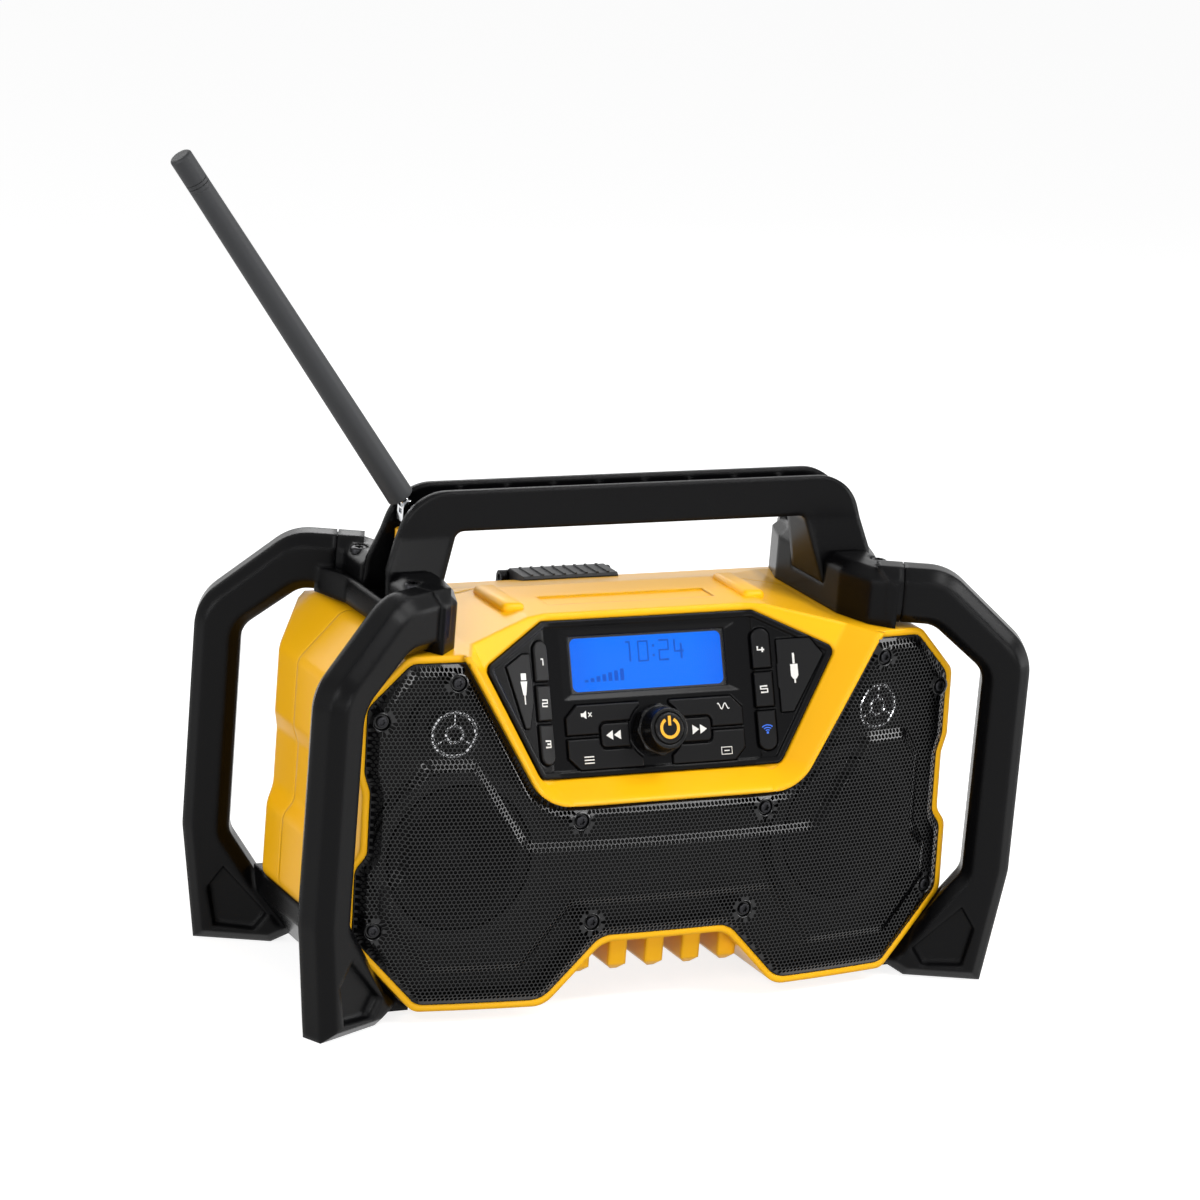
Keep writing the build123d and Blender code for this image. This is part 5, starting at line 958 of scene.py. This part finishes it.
def strokes(runs, width):
    """A flat film along each run of points, with round ends."""
    curve = bpy.data.curves.new("stroke", "CURVE")
    curve.dimensions, curve.bevel_depth, curve.bevel_resolution = "3D", width / 2, 2
    curve.use_fill_caps = True
    for run in runs:
        closed = run[0] == run[-1]
        points = run[:-1] if closed else run
        spline = curve.splines.new("POLY")
        spline.points.add(len(points) - 1)
        for point, (x, y) in zip(spline.points, points):
            point.co = (x, y, 0, 1)
        spline.use_cyclic_u = closed
    return to_film(curve, FILM / width)


def shapes(outlines):
    """A flat film that fills each closed outline."""
    curve = bpy.data.curves.new("shape", "CURVE")
    curve.dimensions, curve.fill_mode, curve.extrude = "2D", "BOTH", FILM / 2
    for outline in outlines:
        spline = curve.splines.new("POLY")
        spline.points.add(len(outline) - 1)
        for point, (x, y) in zip(spline.points, outline):
            point.co = (x, y, 0, 1)
        spline.use_cyclic_u = True
    return to_film(curve, 1)


def to_film(curve, share):
    """The curve as a mesh object, its height scaled by share."""
    held = bpy.data.objects.new("film", curve)
    bpy.context.scene.collection.objects.link(held)
    bpy.ops.object.select_all(action="DESELECT")
    held.select_set(True)
    bpy.context.view_layer.objects.active = held
    bpy.ops.object.convert(target="MESH")
    held = bpy.context.object
    held.data.transform(Matrix.Diagonal((1, 1, share, 1)))
    return held


def printed(name, parts, face, x, y, lift, body, ink):
    """Join films as one print, stand it on a face at x, y, and let it ride on a body."""
    bpy.ops.object.select_all(action="DESELECT")
    for part in parts:
        part.select_set(True)
    bpy.context.view_layer.objects.active = parts[0]
    if len(parts) > 1:
        bpy.ops.object.join()
    film = bpy.context.object
    film.name = film.data.name = name
    film.data.transform(faces[face] @ Matrix.Translation((x, y, lift)))
    film.data.materials.clear()
    film.data.materials.append(ink)
    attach(film, body)


# %% Digits of the preset keys
DIGIT_WIDE, DIGIT_TALL, DIGIT_STROKE = 3.3, 3.0, 0.85
DIGITS = {
    "0": [[(0, 0), (0, 1), (1, 1), (1, 0), (0, 0)]],
    "1": [[(0.35, 1), (0.75, 1), (0.75, 0)]],
    "2": [[(0, 1), (1, 1), (1, 0.5), (0, 0.5), (0, 0), (1, 0)]],
    "3": [[(0, 1), (1, 1), (1, 0), (0, 0)], [(0.3, 0.5), (1, 0.5)]],
    "4": [[(0, 1), (0, 0.4), (1, 0.4)], [(0.7, 0.8), (0.7, 0)]],
    "5": [[(1, 1), (0, 1), (0, 0.55), (1, 0.55), (1, 0), (0, 0)]],
}


def digit(sign, wide, tall):
    """Runs of a digit, centred on the origin."""
    return [[((x - 0.5) * wide, (y - 0.5) * tall) for x, y in run] for run in DIGITS[sign]]


KEY_TOP = 1.33
PRESET_X = 6.8
PRESET_Y = (17.6, -1.9, -21.4)


def key_print(body, parts, face, x, y, ink=white_ink):
    """A print on the cap of the key that moves as that body."""
    printed(f"print_{body}", parts, face, x, y, KEY_TOP, body, ink)


preset_places = {
    "1": ("left", "preset_1"),
    "2": ("left", "preset_2"),
    "3": ("left", "preset_3"),
    "4": ("right", "preset_4"),
    "5": ("right", "preset_5"),
}
for index, (sign, (face, body)) in enumerate(preset_places.items()):
    x = PRESET_X if face == "right" else -PRESET_X
    runs = digit(sign, DIGIT_WIDE, DIGIT_TALL)
    key_print(body, [strokes(runs, DIGIT_STROKE)], face, x, PRESET_Y[index % 3])
print("5 digits")

# %% The wireless key has a plain radio-wave sign
WAVE_DROP = 1.6
arcs = []
for radius in (1.3, 2.5, 3.7):
    arcs.append([(radius * sin(a), radius * cos(a)) for a in np.linspace(-0.75, 0.75, 9)])
dot = [(0.6 * cos(a), 0.6 * sin(a)) for a in np.linspace(0, 2 * pi, 13)[:-1]]
parts = [strokes(arcs, 0.6), shapes([dot])]
key_print("wireless", parts, "right", PRESET_X, PRESET_Y[2] - WAVE_DROP, blue_ink)

# %% Arrows of the skip keys
arrow = [(0, -2.3), (3.6, 0), (0, 2.3)]
pair = [[(x + step, y) for x, y in arrow] for step in (-3.9, 0.3)]
SKIP_X, SKIP_Y = 23.2, -19.0
key_print("next", [shapes(pair)], "middle", SKIP_X, SKIP_Y)
back_pair = [[(-x, y) for x, y in outline] for outline in pair]
key_print("previous", [shapes(back_pair)], "middle", -SKIP_X, SKIP_Y)

# %% Signs of the four corner keys
speaker = [(-2.6, -0.8), (-1.4, -0.8), (0.2, -2.0), (0.2, 2.0), (-1.4, 0.8), (-2.6, 0.8)]
mute_sign = [shapes([speaker]), strokes([[(1.3, -1), (3.1, 1)], [(1.3, 1), (3.1, -1)]], 0.5)]
menu_sign = [strokes([[(-2.6, y), (2.6, y)] for y in (-1.5, 0, 1.5)], 0.6)]
wave = [(x, 1.4 * sin(x * 1.7)) for x in np.linspace(-3.2, 3.2, 21)]
mode_sign = [strokes([wave], 0.55)]
frame_sign = [(-2.8, -1.7), (2.8, -1.7), (2.8, 1.7), (-2.8, 1.7), (-2.8, -1.7)]
display_sign = [strokes([frame_sign, [(-1.4, 0), (1.4, 0)]], 0.5)]
SIGN_X, HIGH_SIGN_Y, LOW_SIGN_Y = 37.0, -8.6, -30.2
key_print("mute", mute_sign, "middle", -SIGN_X, HIGH_SIGN_Y)
key_print("menu", menu_sign, "middle", -SIGN_X, LOW_SIGN_Y)
key_print("mode", mode_sign, "middle", SIGN_X, HIGH_SIGN_Y)
key_print("display", display_sign, "middle", SIGN_X, LOW_SIGN_Y)
print("4 signs")

# %% Plug signs on the two covers
COVER_TOP = 0.83
body_outline = [(-2.0, 2.4), (-2.2, 3.4), (2.2, 3.4), (2.0, 2.4), (0.9, -3.2), (-0.9, -3.2)]
shell_outline = [(-1.7, 4.0), (-1.7, 7.2), (1.7, 7.2), (1.7, 4.0)]
usb_sign = [shapes([body_outline, shell_outline]), strokes([[(0, -3.2), (0, -7.6)]], 0.8)]
jack_outline = [(-1.8, -3.4), (-1.8, 2.2), (1.8, 2.2), (1.8, -3.4), (0.8, -5.0), (-0.8, -5.0)]
jack_tip, jack_cord = [(0, 2.4), (0, 7.6)], [(0, -5.0), (0, -7.0)]
jack_sign = [shapes([jack_outline]), strokes([jack_tip], 1.1), strokes([jack_cord], 0.8)]
cover_signs = {
    "usb": (usb_sign, "left", -19.2, 5.5),
    "aux": (jack_sign, "right", 22.4, 7.0),
}
for sign, (parts, face, x, y) in cover_signs.items():
    flap = f"{sign}_flap"
    printed(f"print_{sign}", parts, face, x, y, COVER_TOP, flap, white_ink)

# %% Power ring on the knob's cap
CAP_TOP = 15.63
KNOB_Y = -18.0
RING = 4.5
ring = [(RING * sin(a), RING * cos(a)) for a in np.linspace(0.5, 2 * pi - 0.5, 29)]
power_sign = [strokes([ring, [(0, 1.2), (0, RING + 1.3)]], 1.6)]
printed("print_power", power_sign, "middle", 0, KNOB_Y, CAP_TOP, "power", yellow_ink)

# %% Mask of the display, with its rounded window
MASK_TOP = -2.9
window = [(-40.6, 2.6), (40.6, 2.6), (40.6, 28.2), (-40.6, 28.2)]
border = [(-42.6, 1.0), (42.6, 1.0), (42.6, 29.8), (-42.6, 29.8)]
mask = shapes([border, rounded(window, lambda x, y: 3.0)])
printed("display_mask", [mask], "middle", 0, 0, MASK_TOP, "chassis", screen_mask)

# %% Figures on the display
LCD_TOP = -2.97
CLOCK_WIDE, CLOCK_TALL, CLOCK_STROKE, CLOCK_Y = 5.0, 9.4, 1.1, 20.5
DOT_X, DOT_SIZE = 3.4, 1.2
BAR_COUNT, FIRST_BAR_X, BAR_STEP, BAR_WIDE = 7, -34, 3.2, 2.0
BAR_LOW, BAR_TOP, BAR_GROWTH = 7.0, 8.2, 0.75


def box(x, y, far_x, far_y):
    """Outline of a box between two corners."""
    return [(x, y), (far_x, y), (far_x, far_y), (x, far_y)]


figures = []
for sign, x in (("1", -10.0), ("0", -1.6), ("2", 9.6), ("4", 18.0)):
    runs = digit(sign, CLOCK_WIDE, CLOCK_TALL)
    runs = [[(px + x, py + CLOCK_Y) for px, py in run] for run in runs]
    figures.append(strokes(runs, CLOCK_STROKE))
figures.append(shapes([box(DOT_X, y, DOT_X + DOT_SIZE, y + DOT_SIZE) for y in (17.6, 22.2)]))
bars = []
for step in range(BAR_COUNT):
    x = FIRST_BAR_X + step * BAR_STEP
    bars.append(box(x, BAR_LOW, x + BAR_WIDE, BAR_TOP + step * BAR_GROWTH))
figures.append(shapes(bars))
printed("display_figures", figures, "middle", 0, 0, LCD_TOP, "chassis", lcd_digit)
print("display written")
